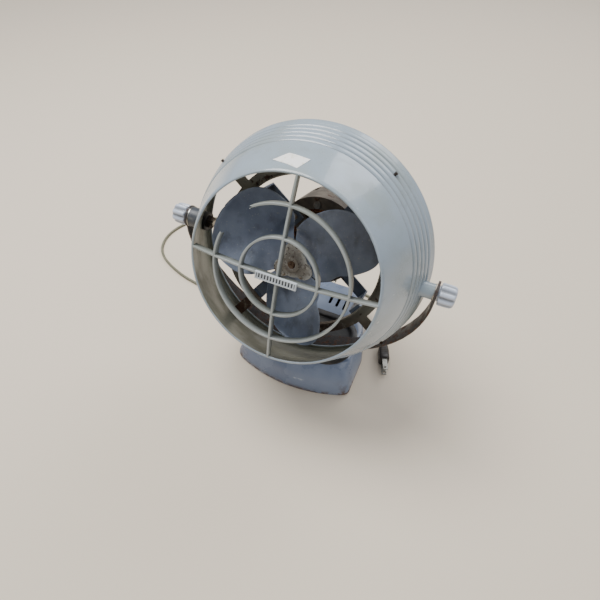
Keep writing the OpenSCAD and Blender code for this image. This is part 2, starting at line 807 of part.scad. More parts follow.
module base_pad() color("#2a2927") difference() {
    linear_extrude(pad_t) base_plan(0, 2 * base_wall + face_gap);
    at_posts() cylinder(r = screw_head_r + 1, h = beyond);
}

module base_screws() color("#9a968e") at_posts() {
    translate([0, 0, face_gap]) cylinder(r = screw_head_r, h = pad_t - face_gap);
    translate([0, 0, face_gap]) cylinder(r = screw_r, h = post_low + post_screw);
}

// switch at the back of the base

module switch_body() color("#26262a") difference() {
    union() {
        translate([-switch_half_w, base_rear - switch_box - 12, switch_z - switch_box / 2])
            cube([2 * switch_half_w, switch_box, switch_box]);
        translate([0, base_rear - 13, switch_z]) rotate([-90, 0, 0]) cylinder(r = switch_neck_r, h = 13);
    }
    translate([0, base_rear - 16, switch_z]) rotate([-90, 0, 0]) cylinder(r = switch_bore_r, h = beyond);
}

module switch_toggle() color("#c9c9c4") translate([0, base_rear - ball_in, switch_z]) {
    sphere(r = ball_r, $fn = 48);
    translate([-pin_half, 0, 0]) rotate([0, 90, 0]) cylinder(r = 1, h = 2 * pin_half);
    rotate([toggle_tilt - 90, 0, 0]) {
        cylinder(r = toggle_r, h = toggle_length);
        translate([0, 0, toggle_length + 1]) sphere(r = toggle_end_r, $fn = 48);
    }
}

// mains cord

gland_x = -side_x(gland_y) - gland_stand;

// the part inside the wall, its two flanges and the sleeve that tapers along the cord
module strain_relief() color("#34322e")
    translate([gland_x, gland_y, gland_z]) rotate([0, -90, 0]) difference() {
    union() {
        translate([0, 0, -11.5]) cylinder(r = relief_flange_r, h = 1.5);
        translate([0, 0, -11]) cylinder(r = relief_body_r, h = 10);
        translate([0, 0, -2]) cylinder(r = relief_flange_r, h = 2);
        translate([0, 0, -0.1]) cylinder(r1 = 5, r2 = cord_d / 2 + relief_tip_wall, h = relief_length + 0.1);
    }
    translate([0, 0, -20]) cylinder(r = cord_d / 2 + run_gap, h = relief_length + 40);
}

function unit(v) = v / norm(v);

// a closed tube round a list of points
module tube(path, d, sides) {
    n = len(path);
    up = [0, 0, 1];
    rings = [for (i = [0:n - 1]) let (
        t = unit(path[min(i + 1, n - 1)] - path[max(i - 1, 0)]),
        a = unit(cross(up, t)),
        b = cross(t, a))
        for (k = [0:sides - 1]) path[i] + d / 2 * (cos(360 * k / sides) * a + sin(360 * k / sides) * b)];
    faces = concat(
        [[for (k = [sides - 1:-1:0]) k]],
        [for (i = [0:n - 2]) for (k = [0:sides - 1]) let (m = (k + 1) % sides)
            [i * sides + k, i * sides + m, (i + 1) * sides + m, (i + 1) * sides + k]],
        [[for (k = [0:sides - 1]) (n - 1) * sides + k]]);
    polyhedron(rings, faces);
}

module cord() color("#7a7668") {
    tube(route_a, cord_d, 8);
    tube(route_b, cord_d, 8);
}

module cord_coil() color("#7a7668") translate([coil_centre[0], coil_centre[1], cord_low])
    rotate_extrude() translate([coil_in_r, 0]) square([coil_out_r - coil_in_r, coil_h]);

// the plug lies on its side, with one blade above the other
module in_plug() translate([plug_x, plug_y, plug_low + plug_w / 2]) rotate([0, 0, plug_turn]) children();

module plug_body() color("#3a2d26") in_plug() {
    translate([-plug_t / 2, 0, -plug_w / 2]) cube([plug_t, plug_length, plug_w]);
    translate([-5, plug_length, -6]) cube([10, plug_neck, 12]);
    translate([0, plug_length + plug_neck, 0]) rotate([-90, 0, 0]) cylinder(r = plug_nose_r, h = plug_nose);
}

module plug_blades() color("#a5a198") in_plug() for (side = [-1, 1])
    translate([0, -contact_length, side * contact_gap / 2]) difference() {
        translate([-contact_w / 2, 0, -contact_t / 2]) cube([contact_w, contact_length, contact_t]);
        translate([0, 3.5, -5]) cylinder(r = contact_w / 4, h = 10);
    }

drum_shell();
front_grille();
badge_plate();
support_ring();
ring_screws();
motor_arms();
arm_screws();
motor_front();
motor_can();
stator_core();
stator_coils();
through_bolts();
front_bush();
rear_bush();
rotor();
shaft();
hub_boss();
hub_plate();
hub_screw();
blade_1();
blade_2();
blade_3();
blade_rivets();
right_boss();
left_boss();
pivot_grommets();
pivot_nuts();
right_stud();
left_stud();
pivot_washers();
right_knob();
left_knob();
yoke_hoop();
swivel_saddle();
swivel_bolt();
swivel_nut();
base_shell();
base_posts();
top_plate();
bottom_plate();
base_pad();
base_screws();
switch_body();
switch_toggle();
strain_relief();
cord();
cord_coil();
plug_body();
plug_blades();
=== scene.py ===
# Desk fan: a ribbed plastic drum with the fan and motor inside, in a half hoop on an enamelled base.
import json
import math
import bpy
import numpy as np
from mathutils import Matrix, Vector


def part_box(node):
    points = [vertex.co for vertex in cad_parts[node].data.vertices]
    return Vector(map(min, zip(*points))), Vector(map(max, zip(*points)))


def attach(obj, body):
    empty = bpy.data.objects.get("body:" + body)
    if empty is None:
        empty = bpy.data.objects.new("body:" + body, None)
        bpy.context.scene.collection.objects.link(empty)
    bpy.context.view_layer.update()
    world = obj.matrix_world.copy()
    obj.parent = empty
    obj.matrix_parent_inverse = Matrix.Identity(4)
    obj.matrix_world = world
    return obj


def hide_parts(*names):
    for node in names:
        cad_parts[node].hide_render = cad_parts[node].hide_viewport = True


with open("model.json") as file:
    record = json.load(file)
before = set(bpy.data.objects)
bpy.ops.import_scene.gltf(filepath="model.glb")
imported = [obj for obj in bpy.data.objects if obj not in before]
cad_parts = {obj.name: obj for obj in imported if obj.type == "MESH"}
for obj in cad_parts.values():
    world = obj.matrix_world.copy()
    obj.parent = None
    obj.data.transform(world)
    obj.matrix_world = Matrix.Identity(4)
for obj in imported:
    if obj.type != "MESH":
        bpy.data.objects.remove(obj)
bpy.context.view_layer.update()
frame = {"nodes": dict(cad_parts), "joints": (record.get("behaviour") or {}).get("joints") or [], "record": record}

mm = 0.001
nodes = frame["nodes"]
joints = {joint["name"]: joint for joint in frame["joints"]}
rng = np.random.default_rng(7)
print("frame loaded:", len(nodes), "nodes")

# camera
cameraValues = {"place": (0.13626, -0.35475, 0.56191), "turn": (40.623, -1.302, 23.169), "lens": 28.8}
cameraData = bpy.data.cameras.new("camera")
cameraData.sensor_width = 36
cameraData.lens = cameraValues["lens"]
camera = bpy.data.objects.new("camera", cameraData)
camera.location = cameraValues["place"]
camera.rotation_euler = [math.radians(angle) for angle in cameraValues["turn"]]
bpy.context.scene.collection.objects.link(camera)
bpy.context.scene.camera = camera


# shapes: every piece is one or more closed skins of points on a grid

def capped(ring, centre, size, reverse):  # triangles from a closed row of points to one middle point
    following = np.roll(ring, -1)
    fan = np.stack([ring, following, np.full(size, centre)], axis=1)
    return fan[:, ::-1] if reverse else fan


def skin(points, closedRows=False):
    # rows run along the first index; each row is a closed ring; open ends are capped, closedRows joins them
    rows, size = points.shape[:2]
    index = np.arange(rows * size).reshape(rows, size)
    below = index if closedRows else index[:-1]
    above = np.roll(index, -1, axis=0) if closedRows else index[1:]
    quads = np.stack([below, np.roll(below, -1, axis=1), np.roll(above, -1, axis=1), above], axis=-1)
    quads = quads.reshape(-1, 4)
    verts = points.reshape(-1, 3)
    tris = np.zeros((0, 3), int)
    if not closedRows:
        verts = np.vstack([verts, points[0].mean(0), points[-1].mean(0)])
        tris = np.vstack([capped(index[0], rows * size, size, True),
                          capped(index[-1], rows * size + 1, size, False)])
    a, b, c, d = (verts[quads[:, i]] for i in range(4))
    volume = np.einsum("ij,ij->", a, np.cross(b, c)) + np.einsum("ij,ij->", a, np.cross(c, d))
    if len(tris):
        volume += np.einsum("ij,ij->", verts[tris[:, 0]], np.cross(verts[tris[:, 1]], verts[tris[:, 2]]))
    if volume < 0:                       # turned inside out, so every face is turned round
        quads, tris = quads[:, ::-1], tris[:, ::-1]
    return verts, quads, tris


def joined(skins):  # the points and the faces of several skins as one list each
    offsets = np.cumsum([0] + [len(verts) for verts, _, _ in skins])
    verts = np.vstack([verts for verts, _, _ in skins])
    quads = np.vstack([quads + start for (_, quads, _), start in zip(skins, offsets)])
    tris = np.vstack([tris + start for (_, _, tris), start in zip(skins, offsets)])
    return verts, quads.tolist() + tris.tolist()


def makePiece(name, skins, body, materials, replaced=(), values=None, faceSlots=None, sharp=40):
    # one mesh of all its skins, in place, with named values on its points and a slot on its faces
    verts, faces = joined(skins)
    mesh = bpy.data.meshes.new(name)
    mesh.from_pydata(verts.tolist(), [], faces)
    for material in materials:
        mesh.materials.append(material)
    for key, numbers in (values or {}).items():
        numbers = np.concatenate([np.asarray(numbers, float).ravel(), np.zeros(len(verts))])[:len(verts)]
        mesh.attributes.new(key, "FLOAT", "POINT").data.foreach_set("value", numbers)
    if faceSlots is not None:
        chosen = np.zeros(len(mesh.polygons), int)
        chosen[:len(faceSlots)] = faceSlots
        mesh.polygons.foreach_set("material_index", chosen)
    mesh.polygons.foreach_set("use_smooth", np.ones(len(mesh.polygons), bool))
    mesh.set_sharp_from_angle(angle=math.radians(sharp))
    mesh.update()
    piece = bpy.data.objects.new(name, mesh)
    bpy.context.scene.collection.objects.link(piece)
    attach(piece, body)
    if replaced:
        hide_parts(*replaced)
    return piece


def smoothPath(points, step):  # a curve through given points, cut to equal steps
    points = np.asarray(points, float)
    held = np.vstack([2 * points[0] - points[1], points, 2 * points[-1] - points[-2]])
    t = np.linspace(0, 1, 30, endpoint=False)[:, None]
    spans = [0.5 * (2 * p1 + (p2 - p0) * t + (2 * p0 - 5 * p1 + 4 * p2 - p3) * t ** 2
                    + (3 * p1 - 3 * p2 + p3 - p0) * t ** 3)
             for p0, p1, p2, p3 in zip(held, held[1:], held[2:], held[3:])]
    line = np.vstack(spans + [points[-1:]])
    return evenly(line, step)


def evenly(line, step):
    reach = np.concatenate([[0], np.cumsum(np.linalg.norm(np.diff(line, axis=0), axis=1))])
    marks = np.linspace(0, reach[-1], int(reach[-1] / step) + 1)
    return np.stack([np.interp(marks, reach, line[:, i]) for i in range(3)], axis=1)


def roundedRect(halfWide, halfHigh, corner, steps=4):
    # a rectangle's outline with round corners, anticlockwise, as two rows of numbers
    angles = np.linspace(0, np.pi / 2, steps)
    parts = []
    for turn, (sx, sy) in enumerate([(1, 1), (-1, 1), (-1, -1), (1, -1)]):
        angle = angles + turn * np.pi / 2
        parts.append(np.stack([sx * (halfWide - corner) + corner * np.cos(angle),
                               sy * (halfHigh - corner) + corner * np.sin(angle)], axis=1))
    return np.vstack(parts)


def ringOfRevolution(profile, steps, start=0.0, stop=2 * np.pi):
    # a closed profile of (radius, distance along the axis), turned about the axis
    full = stop - start > 6.283
    angles = np.linspace(start, stop, steps, endpoint=not full)
    radius, along = profile[:, 0], profile[:, 1]
    return np.stack([np.outer(np.cos(angles), radius), np.tile(along, (steps, 1)),
                     np.outer(np.sin(angles), radius)], axis=2)


# the head's own axes: x to the right, s back from the front rim, z up
tiltAxis = np.array(joints["head_tilt"]["pos_m"])
fanAxis = np.array(joints["fan_spin"]["axis"], float)
fanAxis /= np.linalg.norm(fanAxis)
rimToPivot = 69.5 * mm


def inHead(points):  # from the head's axes, in metres, to the frame
    x, s, z = points[..., 0], points[..., 1] - rimToPivot, points[..., 2]
    cosine, sine = fanAxis[1], -fanAxis[2]
    along = s * cosine + z * sine
    up = z * cosine - s * sine
    return np.stack([x + tiltAxis[0], along + tiltAxis[1], up + tiltAxis[2]], -1)


# finishes

def toLinear(hexColour):
    parts = [int(hexColour[i:i + 2], 16) / 255 for i in (1, 3, 5)]
    return [p / 12.92 if p <= 0.04045 else ((p + 0.055) / 1.055) ** 2.4 for p in parts] + [1]


def addNode(tree, kind, inputs=None, **settings):
    node = tree.nodes.new(kind)
    for key, value in settings.items():
        setattr(node, key, value)
    for key, value in (inputs or {}).items():
        if isinstance(value, bpy.types.NodeSocket):
            tree.links.new(value, node.inputs[key])
        else:
            node.inputs[key].default_value = value
    return node


def newFinish(name, **sockets):
    material = bpy.data.materials.new(name)
    material.use_nodes = True
    tree = material.node_tree
    shader = next(n for n in tree.nodes if n.type == "BSDF_PRINCIPLED")
    for key, value in sockets.items():
        value = toLinear(value) if isinstance(value, str) else value
        shader.inputs[key.replace("_", " ")].default_value = value
    material.diffuse_color = shader.inputs["Base Color"].default_value
    return material, tree, shader


def patches(tree, sizeMm, low, high, stretch=(1, 1, 1), shift=(0, 0, 0), detail=5.0, rough=0.55):
    # cloudy patches of about sizeMm, 0 below low and 1 above high
    place = addNode(tree, "ShaderNodeTexCoord").outputs["Object"]
    moved = addNode(tree, "ShaderNodeMapping",
                    {"Vector": place, "Location": shift, "Scale": stretch}).outputs[0]
    cloud = addNode(tree, "ShaderNodeTexNoise", {"Vector": moved, "Scale": 1000 / sizeMm, "Detail": detail,
                                                 "Roughness": rough}).outputs["Fac"]
    return addNode(tree, "ShaderNodeMapRange", {"Value": cloud, "From Min": low, "From Max": high},
                   interpolation_type="SMOOTHSTEP").outputs[0]


def between(tree, value, low, high):  # 0 at low, 1 at high
    return addNode(tree, "ShaderNodeMapRange", {"Value": value, "From Min": low, "From Max": high},
                   interpolation_type="SMOOTHSTEP").outputs[0]


def combine(tree, way, a, b):
    return addNode(tree, "ShaderNodeMath", {0: a, 1: b}, operation=way, use_clamp=True).outputs[0]


def over(tree, under, colour, amount):  # colour laid over what is under it
    colour = toLinear(colour) if isinstance(colour, str) else colour
    mix = addNode(tree, "ShaderNodeMix", {"Factor": amount, "A": under, "B": colour}, data_type="RGBA")
    return mix.outputs["Result"]


def faded(tree, amount, share):  # a weaker copy of an amount
    return addNode(tree, "ShaderNodeMath", {0: amount, 1: share}, operation="MULTIPLY").outputs[0]


def pointValue(tree, name):
    return addNode(tree, "ShaderNodeAttribute", attribute_name=name).outputs["Fac"]


def height(tree):
    place = addNode(tree, "ShaderNodeTexCoord").outputs["Object"]
    return addNode(tree, "ShaderNodeSeparateXYZ", {"Vector": place}).outputs["Z"]


def setRoughness(tree, shader, amount, low, high):
    value = addNode(tree, "ShaderNodeMapRange", {"Value": amount, "To Min": low, "To Max": high}).outputs[0]
    tree.links.new(value, shader.inputs["Roughness"])


def setBump(tree, shader, amount, depthMm, strength=0.6):
    bump = addNode(tree, "ShaderNodeBump", {"Height": amount, "Distance": depthMm * mm, "Strength": strength})
    tree.links.new(bump.outputs[0], shader.inputs["Normal"])


def setColour(tree, shader, colour):
    tree.links.new(colour, shader.inputs["Base Color"])


def mouldedPlastic(name, clean, aged, dirt, grimeAndShadeName=None, rough=(0.16, 0.4), grimeAndShadeShare=0.75):
    # moulded styrene, decades old: an uneven soft gloss, handling haze and fine scuffs; a point value darkens it
    # in the drum's grooves, the badge's flute gaps and the knobs' cuts, and as painted shade on the grille bars'
    # sides
    material, tree, shader = newFinish(name, Base_Color=clean, IOR=1.53, Coat_Weight=0.35)
    haze = patches(tree, 60, 0.38, 0.68)
    scuffs = patches(tree, 5, 0.66, 0.78, stretch=(0.25, 1, 1), detail=8)
    stain = patches(tree, 22, 0.56, 0.78, shift=(3, 1, 2), detail=7)
    colour = over(tree, over(tree, toLinear(clean), aged, haze), dirt, faded(tree, stain, 0.28))
    speckle = patches(tree, 1.6, 0.7, 0.76, detail=2)
    colour = over(tree, colour, dirt, faded(tree, speckle, 0.45))
    if grimeAndShadeName:
        # darkening by the point value: in grooves and recesses, and painted shade on the grille bars' sides
        grime = combine(tree, "MULTIPLY", pointValue(tree, grimeAndShadeName), patches(tree, 14, 0.1, 0.45))
        colour = over(tree, colour, dirt, faded(tree, grime, grimeAndShadeShare))
    setColour(tree, shader, over(tree, colour, "#C9CFD2", faded(tree, scuffs, 0.2)))
    setRoughness(tree, shader, combine(tree, "ADD", haze, scuffs), *rough)
    setBump(tree, shader, patches(tree, 2.2, 0.2, 0.8, detail=3), 0.03, 0.25)
    return material


def dirtyShadedInside():
    # the same plastic inside the drum, coloured darker and more olive than outside as painted shade, under a
    # brown-grey film of oil and dust, and darker towards the bottom
    material, tree, shader = newFinish("dirtyInnerPlastic", Base_Color="#7D7F74", IOR=1.5)
    film = patches(tree, 30, 0.35, 0.7)
    low = between(tree, height(tree), 0.24, 0.10)
    # these base colours are the drum plastic with painted shade in them
    colour = over(tree, toLinear("#8E9084"), "#77786A", film)
    colour = over(tree, colour, "#565240", faded(tree, low, 0.4))
    specks = patches(tree, 2.5, 0.62, 0.7, detail=3)
    setColour(tree, shader, over(tree, colour, "#3A362C", faded(tree, specks, 0.35)))
    setRoughness(tree, shader, film, 0.32, 0.6)
    setBump(tree, shader, patches(tree, 1.5, 0.3, 0.7), 0.06, 0.3)
    return material


def fanPaint():
    # stove enamel on pressed steel: satin blue-grey, a dust bloom, oily smears and edges rubbed paler
    material, tree, shader = newFinish("bladePaint", Base_Color="#565D69", IOR=1.5)
    bloom = patches(tree, 34, 0.35, 0.7, shift=(1, 5, 2))
    smear = patches(tree, 16, 0.5, 0.72, stretch=(1, 1, 0.35), detail=6)
    colour = over(tree, toLinear("#5A6374"), "#7A8392", faded(tree, bloom, 0.85))
    colour = over(tree, colour, "#393E47", faded(tree, smear, 0.6))
    rubbed = combine(tree, "MULTIPLY", pointValue(tree, "edge"), patches(tree, 6, 0.35, 0.6))
    colour = over(tree, colour, "#8A94A3", faded(tree, rubbed, 0.6))
    specks = patches(tree, 2, 0.66, 0.73, detail=2, shift=(2, 2, 2))
    setColour(tree, shader, over(tree, colour, "#A9A595", faded(tree, specks, 0.4)))
    setRoughness(tree, shader, bloom, 0.34, 0.62)
    setBump(tree, shader, patches(tree, 1.4, 0.3, 0.75), 0.04, 0.35)
    return material


def corrodedPlate(name, light, dark, pit):
    # cast and plated hub: chalky white corrosion over brown, pitted metal
    material, tree, shader = newFinish(name, Base_Color=light, Roughness=0.7)
    chalk = combine(tree, "MULTIPLY", pointValue(tree, "edge"), patches(tree, 6, 0.3, 0.55, detail=7))
    chalk = combine(tree, "MAXIMUM", chalk, faded(tree, patches(tree, 4, 0.5, 0.66), 0.4))
    pits = patches(tree, 2.2, 0.56, 0.66, detail=4, shift=(4, 4, 4))
    colour = over(tree, over(tree, toLinear(dark), light, chalk), pit, pits)
    setColour(tree, shader, colour)
    setRoughness(tree, shader, chalk, 0.5, 0.85)
    setBump(tree, shader, combine(tree, "SUBTRACT", chalk, pits), 0.25, 0.7)
    return material


def paintedSteel(name, paint, chalky, rust, amount=0.5, rough=(0.4, 0.7), rustLow=None, patch=14,
                 crustMm=0.2):
    # brushed-on paint over steel, chipped to brown rust with a raised, grainy crust
    material, tree, shader = newFinish(name, Base_Color=paint, IOR=1.5)
    wear = patches(tree, 26, 0.4, 0.7)
    start = 0.72 - 0.3 * amount
    crust = patches(tree, patch, start, start + 0.06, detail=8, rough=0.65, shift=(2, 7, 5))
    if rustLow:
        near = between(tree, height(tree), rustLow[1], rustLow[0])
        crust = combine(tree, "MAXIMUM", crust, combine(tree, "MULTIPLY", near, patches(tree, 9, 0.3, 0.5)))
    colour = over(tree, toLinear(paint), chalky, wear)
    tone = over(tree, toLinear(rust), "#3A2318", patches(tree, 4, 0.4, 0.65))
    setColour(tree, shader, over(tree, colour, tone, crust))
    setRoughness(tree, shader, combine(tree, "MAXIMUM", wear, crust), *rough)
    grain = faded(tree, patches(tree, 1.2, 0.3, 0.7), 0.3)
    setBump(tree, shader, combine(tree, "ADD", crust, grain), crustMm, 0.7)
    return material


def baseEnamel():
    # glossy stove enamel, chalked on top, with a few chips, worn to brown primer along the foot
    material, tree, shader = newFinish("baseEnamel", Base_Color="#6A7486", IOR=1.52, Coat_Weight=0.25)
    chalk = patches(tree, 45, 0.36, 0.68)
    foot = combine(tree, "MULTIPLY", pointValue(tree, "worn"), patches(tree, 9, 0.36, 0.56, detail=7))
    chips = patches(tree, 5, 0.715, 0.73, detail=6, shift=(5, 1, 3))
    scratches = patches(tree, 4, 0.7, 0.74, stretch=(0.12, 1, 1), detail=4)
    colour = over(tree, toLinear("#677388"), "#7C8799", faded(tree, chalk, 0.8))
    colour = over(tree, colour, "#B9C0C6", faded(tree, scratches, 0.5))
    brown = over(tree, toLinear("#5A4232"), "#3C2C22", patches(tree, 5, 0.4, 0.6))
    worn = combine(tree, "MAXIMUM", foot, chips)
    setColour(tree, shader, over(tree, colour, brown, worn))
    setRoughness(tree, shader, combine(tree, "MAXIMUM", faded(tree, chalk, 0.45), worn), 0.2, 0.72)
    setBump(tree, shader, combine(tree, "SUBTRACT", patches(tree, 7, 0.2, 0.8), worn), 0.12, 0.35)
    return material


def plainMetal(name, colour, dull, rough=(0.3, 0.55), grainMm=1.5, stretch=(1, 1, 1)):
    # bare or plated metal gone dull, with tarnish in patches and fine tool marks
    material, tree, shader = newFinish(name, Base_Color=colour, Metallic=1.0)
    tarnish = patches(tree, 8, 0.42, 0.68)
    setColour(tree, shader, over(tree, toLinear(colour), dull, tarnish))
    setRoughness(tree, shader, tarnish, *rough)
    setBump(tree, shader, patches(tree, grainMm, 0.3, 0.7, stretch=stretch), 0.03, 0.4)
    return material


def stackedSteel():
    # punched sheets pressed into a stack: fine dark lines between the sheets, drawn 1 mm apart so they show
    material, tree, shader = newFinish("stackedSteel", Base_Color="#6E6A62", Metallic=0.8)
    place = addNode(tree, "ShaderNodeTexCoord").outputs["Object"]
    turn = (math.asin(-fanAxis[2]), 0, 0)
    tilted = addNode(tree, "ShaderNodeMapping", {"Vector": place, "Rotation": turn}).outputs[0]
    lines = addNode(tree, "ShaderNodeTexWave", {"Vector": tilted, "Scale": 1000 / 20, "Distortion": 0.2},
                    bands_direction="Y").outputs["Fac"]
    setColour(tree, shader, over(tree, toLinear("#3A352F"), "#85817A", lines))
    setRoughness(tree, shader, patches(tree, 6, 0.4, 0.7), 0.4, 0.7)
    setBump(tree, shader, lines, 0.15, 0.5)
    return material


def woundCopper():
    # varnished copper wire: brown-orange, darker and glossier where the varnish pooled, with painted highlight on
    # each strand's crest and painted shade between strands and at the laces
    material, tree, shader = newFinish("woundCopper", Base_Color="#8A5530", Metallic=0.6, Coat_Weight=0.4)
    pooled = patches(tree, 5, 0.4, 0.65)
    strand = pointValue(tree, "strand")
    setColour(tree, shader, over(tree, over(tree, toLinear("#5B3018"), "#B0713E", strand), "#3B2214",
                                 faded(tree, pooled, 0.7)))
    setRoughness(tree, shader, pooled, 0.25, 0.5)
    return material


def rubberOrResin(name, colour, dusty, rough=(0.5, 0.8), grainMm=1.2, share=0.5):
    # moulded rubber or resin, matt, with dust held in its grain
    material, tree, shader = newFinish(name, Base_Color=colour, IOR=1.5)
    dust = patches(tree, 12, 0.45, 0.7, detail=7)
    setColour(tree, shader, over(tree, toLinear(colour), dusty, faded(tree, dust, share)))
    setRoughness(tree, shader, dust, *rough)
    setBump(tree, shader, patches(tree, grainMm, 0.3, 0.7), 0.05, 0.4)
    return material


def oldPaper():
    # uncoated white paper, slightly yellowed and furred
    material, tree, shader = newFinish("oldPaper", Base_Color="#F2F0E8", Roughness=0.85)
    setColour(tree, shader, over(tree, toLinear("#F4F2EC"), "#DDD6C2", patches(tree, 6, 0.5, 0.75)))
    setBump(tree, shader, patches(tree, 0.8, 0.3, 0.7), 0.04, 0.4)
    return material


finishes = {
    "drum_plastic": mouldedPlastic("drumPlastic", "#96A3AD", "#8D9797", "#55544D", "grime"),
    # on the grille the darkening by the point value is painted shade on the bars' sides, with their fronts left
    # lit
    "grille_plastic": mouldedPlastic("grillePlastic", "#9DA29F", "#8C918B", "#4A4C44", "grime",
                                     (0.3, 0.55), 0.9),
    "badge": mouldedPlastic("badgePlastic", "#C9D0D4", "#BCC2C3", "#2F3236", "grime", (0.25, 0.45), 0.95),
    "ring_steel": paintedSteel("ringSteel", "#8A8678", "#6F695D", "#4D3626", 0.45, rustLow=(0.12, 0.17)),
    "dark_fixing": plainMetal("darkFixing", "#4C4642", "#3A2C22", (0.45, 0.7)),
    "bright_fixing": plainMetal("brightFixing", "#A7A49C", "#75695A"),
    "bracket_paint": paintedSteel("bracketPaint", "#5E6878", "#4B525D", "#57402F", 0.35),
    # the motor's brown-grey is its paint made darker with painted shade, for the dark space behind the blades
    "motor_paint": paintedSteel("motorPaint", "#5F564B", "#453E36", "#4E3424", 0.35),
    "lamination": stackedSteel(),
    "copper": woundCopper(),
    "bronze": plainMetal("oiledBronze", "#8F6A3A", "#4D3A26"),
    "shaft_steel": plainMetal("turnedShaft", "#6A5A4C", "#3B2A20", (0.4, 0.65)),
    "hub_metal": corrodedPlate("corrodedHub", "#A9A79E", "#635C51", "#3E3127"),
    "blade_paint": fanPaint(),
    "dark_boss": rubberOrResin("darkBoss", "#3A3E43", "#77766E", (0.4, 0.65)),
    "black_rubber": rubberOrResin("blackRubber", "#1F1F20", "#5C584F"),
    "knob_plastic": mouldedPlastic("knobPlastic", "#C3CBD8", "#B3BBC6", "#5E5C58", "grime", (0.22, 0.4)),
    "yoke_paint": paintedSteel("yokePaint", "#2F2B29", "#3F3835", "#54392A", 0.66, patch=7, crustMm=0.4),
    "base_enamel": baseEnamel(),
    # near black: the plate's dark paint together with painted shade under the head
    "black_plate": paintedSteel("blackPlate", "#262524", "#474239", "#4A3729", 0.35),
    "cover_steel": paintedSteel("coverSteel", "#3A3733", "#4A453E", "#54402F", 0.45),
    "switch_plastic": rubberOrResin("switchPlastic", "#202022", "#56524A", (0.3, 0.6)),
    "toggle_metal": plainMetal("dullNickel", "#B9B6AC", "#8A8272", (0.18, 0.4)),
    "cord_rubber": rubberOrResin("cordSheath", "#6E6C58", "#8E8A76", (0.45, 0.7), 1.0),
    "plug_plastic": rubberOrResin("plugResin", "#241E1B", "#5F584D", (0.35, 0.65), 1.2, 0.3),
    "plug_brass": plainMetal("dullProngs", "#8F8E88", "#5F5C55", (0.35, 0.6)),
}
shadedInnerPlastic = dirtyShadedInside()
paper = oldPaper()
for subpart in frame["record"]["subparts"]:
    cadMesh = nodes[subpart["node"]].data
    cadMesh.materials.clear()
    cadMesh.materials.append(finishes[subpart["material_slot"]])
print("finishes made:", len(finishes) + 2)

# mains cord: from the strain relief round a free loop, a flat coil behind, then to the plug
cordValues = {"diameter": 4 * mm, "coilCentre": (-50, 186), "coilOut": 30, "coilIn": 16,
              "turns": 3.5, "layer": 4.1, "sides": 12, "step": 3 * mm}
routeA = [[-106, 45, 10], [-115, 45, 9.4], [-130, 45, 7], [-148, 45.5, 4], [-166, 48, 2.4],
          [-186, 53, 2.2], [-206, 57, 2.2], [-226, 61, 2.2], [-245, 67, 2.2], [-264, 75, 2.2],
          [-281, 85, 2.2], [-295, 99, 2.2], [-303, 117, 2.2], [-305, 137, 2.2], [-301, 157, 2.2],
          [-292, 175, 2.2], [-279, 190, 2.2], [-263, 202, 2.2], [-245, 211, 2.2], [-225, 217, 2.2],
          [-204, 220, 2.2], [-182, 221, 2.2], [-160, 220, 2.2], [-138, 218, 2.2], [-116, 216.5, 2.2],
          [-94, 216, 2.2], [-74, 216, 2.2], [-62, 216, 2.2]]
routeB = [[-20, 174, 6], [-20, 164, 4.2], [-17, 153, 2.6], [-8, 145, 2.2], [5, 141, 2.2],
          [20, 141, 2.2], [36, 143, 2.2], [51, 143, 2.2], [65, 138, 2.2], [75, 129, 2.2],
          [82, 117, 2.6], [87, 103, 4.4], [91, 88, 7.4], [94.7, 73.1, 10], [98.4, 63, 10.4]]


def coilTurns():
    # a flat spiral going in, a quarter turn to climb one layer, and a spiral going out on top of it
    turns, layer = cordValues["turns"], cordValues["layer"]
    pitch = (cordValues["coilOut"] - cordValues["coilIn"]) / turns
    t = np.linspace(0, 2 * turns + 0.25, int((2 * turns + 0.25) * 40) + 1)
    inward = cordValues["coilOut"] - pitch * np.minimum(t, turns)
    radius = inward + pitch * np.maximum(0, t - turns - 0.25)
    climb = np.clip((t - turns) / 0.25, 0, 1)
    rise = 2.2 + layer * (3 * climb ** 2 - 2 * climb ** 3)
    angle = np.pi / 2 - 2 * np.pi * t
    x, y = cordValues["coilCentre"]
    return np.stack([x + radius * np.cos(angle), y + radius * np.sin(angle), rise], axis=1)


cordLine = smoothPath(np.vstack([routeA, coilTurns(), routeB]), cordValues["step"] / mm) * mm


def tube(line, radius, sides):
    # a circle carried along a line, kept level with the floor; radius may change along it
    way = np.gradient(line, axis=0)
    way /= np.linalg.norm(way, axis=1, keepdims=True)
    side = np.cross([0, 0, 1], way)
    side /= np.linalg.norm(side, axis=1, keepdims=True)
    up = np.cross(way, side)
    angle = np.linspace(0, 2 * np.pi, sides, endpoint=False)
    radius = np.broadcast_to(np.asarray(radius, float), (len(line),))[:, None, None]
    across, rise = np.cos(angle)[:, None], np.sin(angle)[:, None]
    return line[:, None] + radius * (across * side[:, None] + rise * up[:, None])


cordPiece = makePiece("mainsCord", [skin(tube(cordLine, cordValues["diameter"] / 2, cordValues["sides"]))],
                      "base", [finishes["cord_rubber"]], ("cord", "cord_coil"))

# plug: it lies on its side; its outline swells between its flat face and its nose, with grip ridges
plugValues = {"face": (110, 31), "turn": 20, "level": 10.4, "halfWide": 7, "halfHigh": 10, "body": 22,
              "nose": 34, "noseRadius": 3.5, "ridgePitch": 3.2, "ridgeHeight": 0.022, "lowest": 0.4}


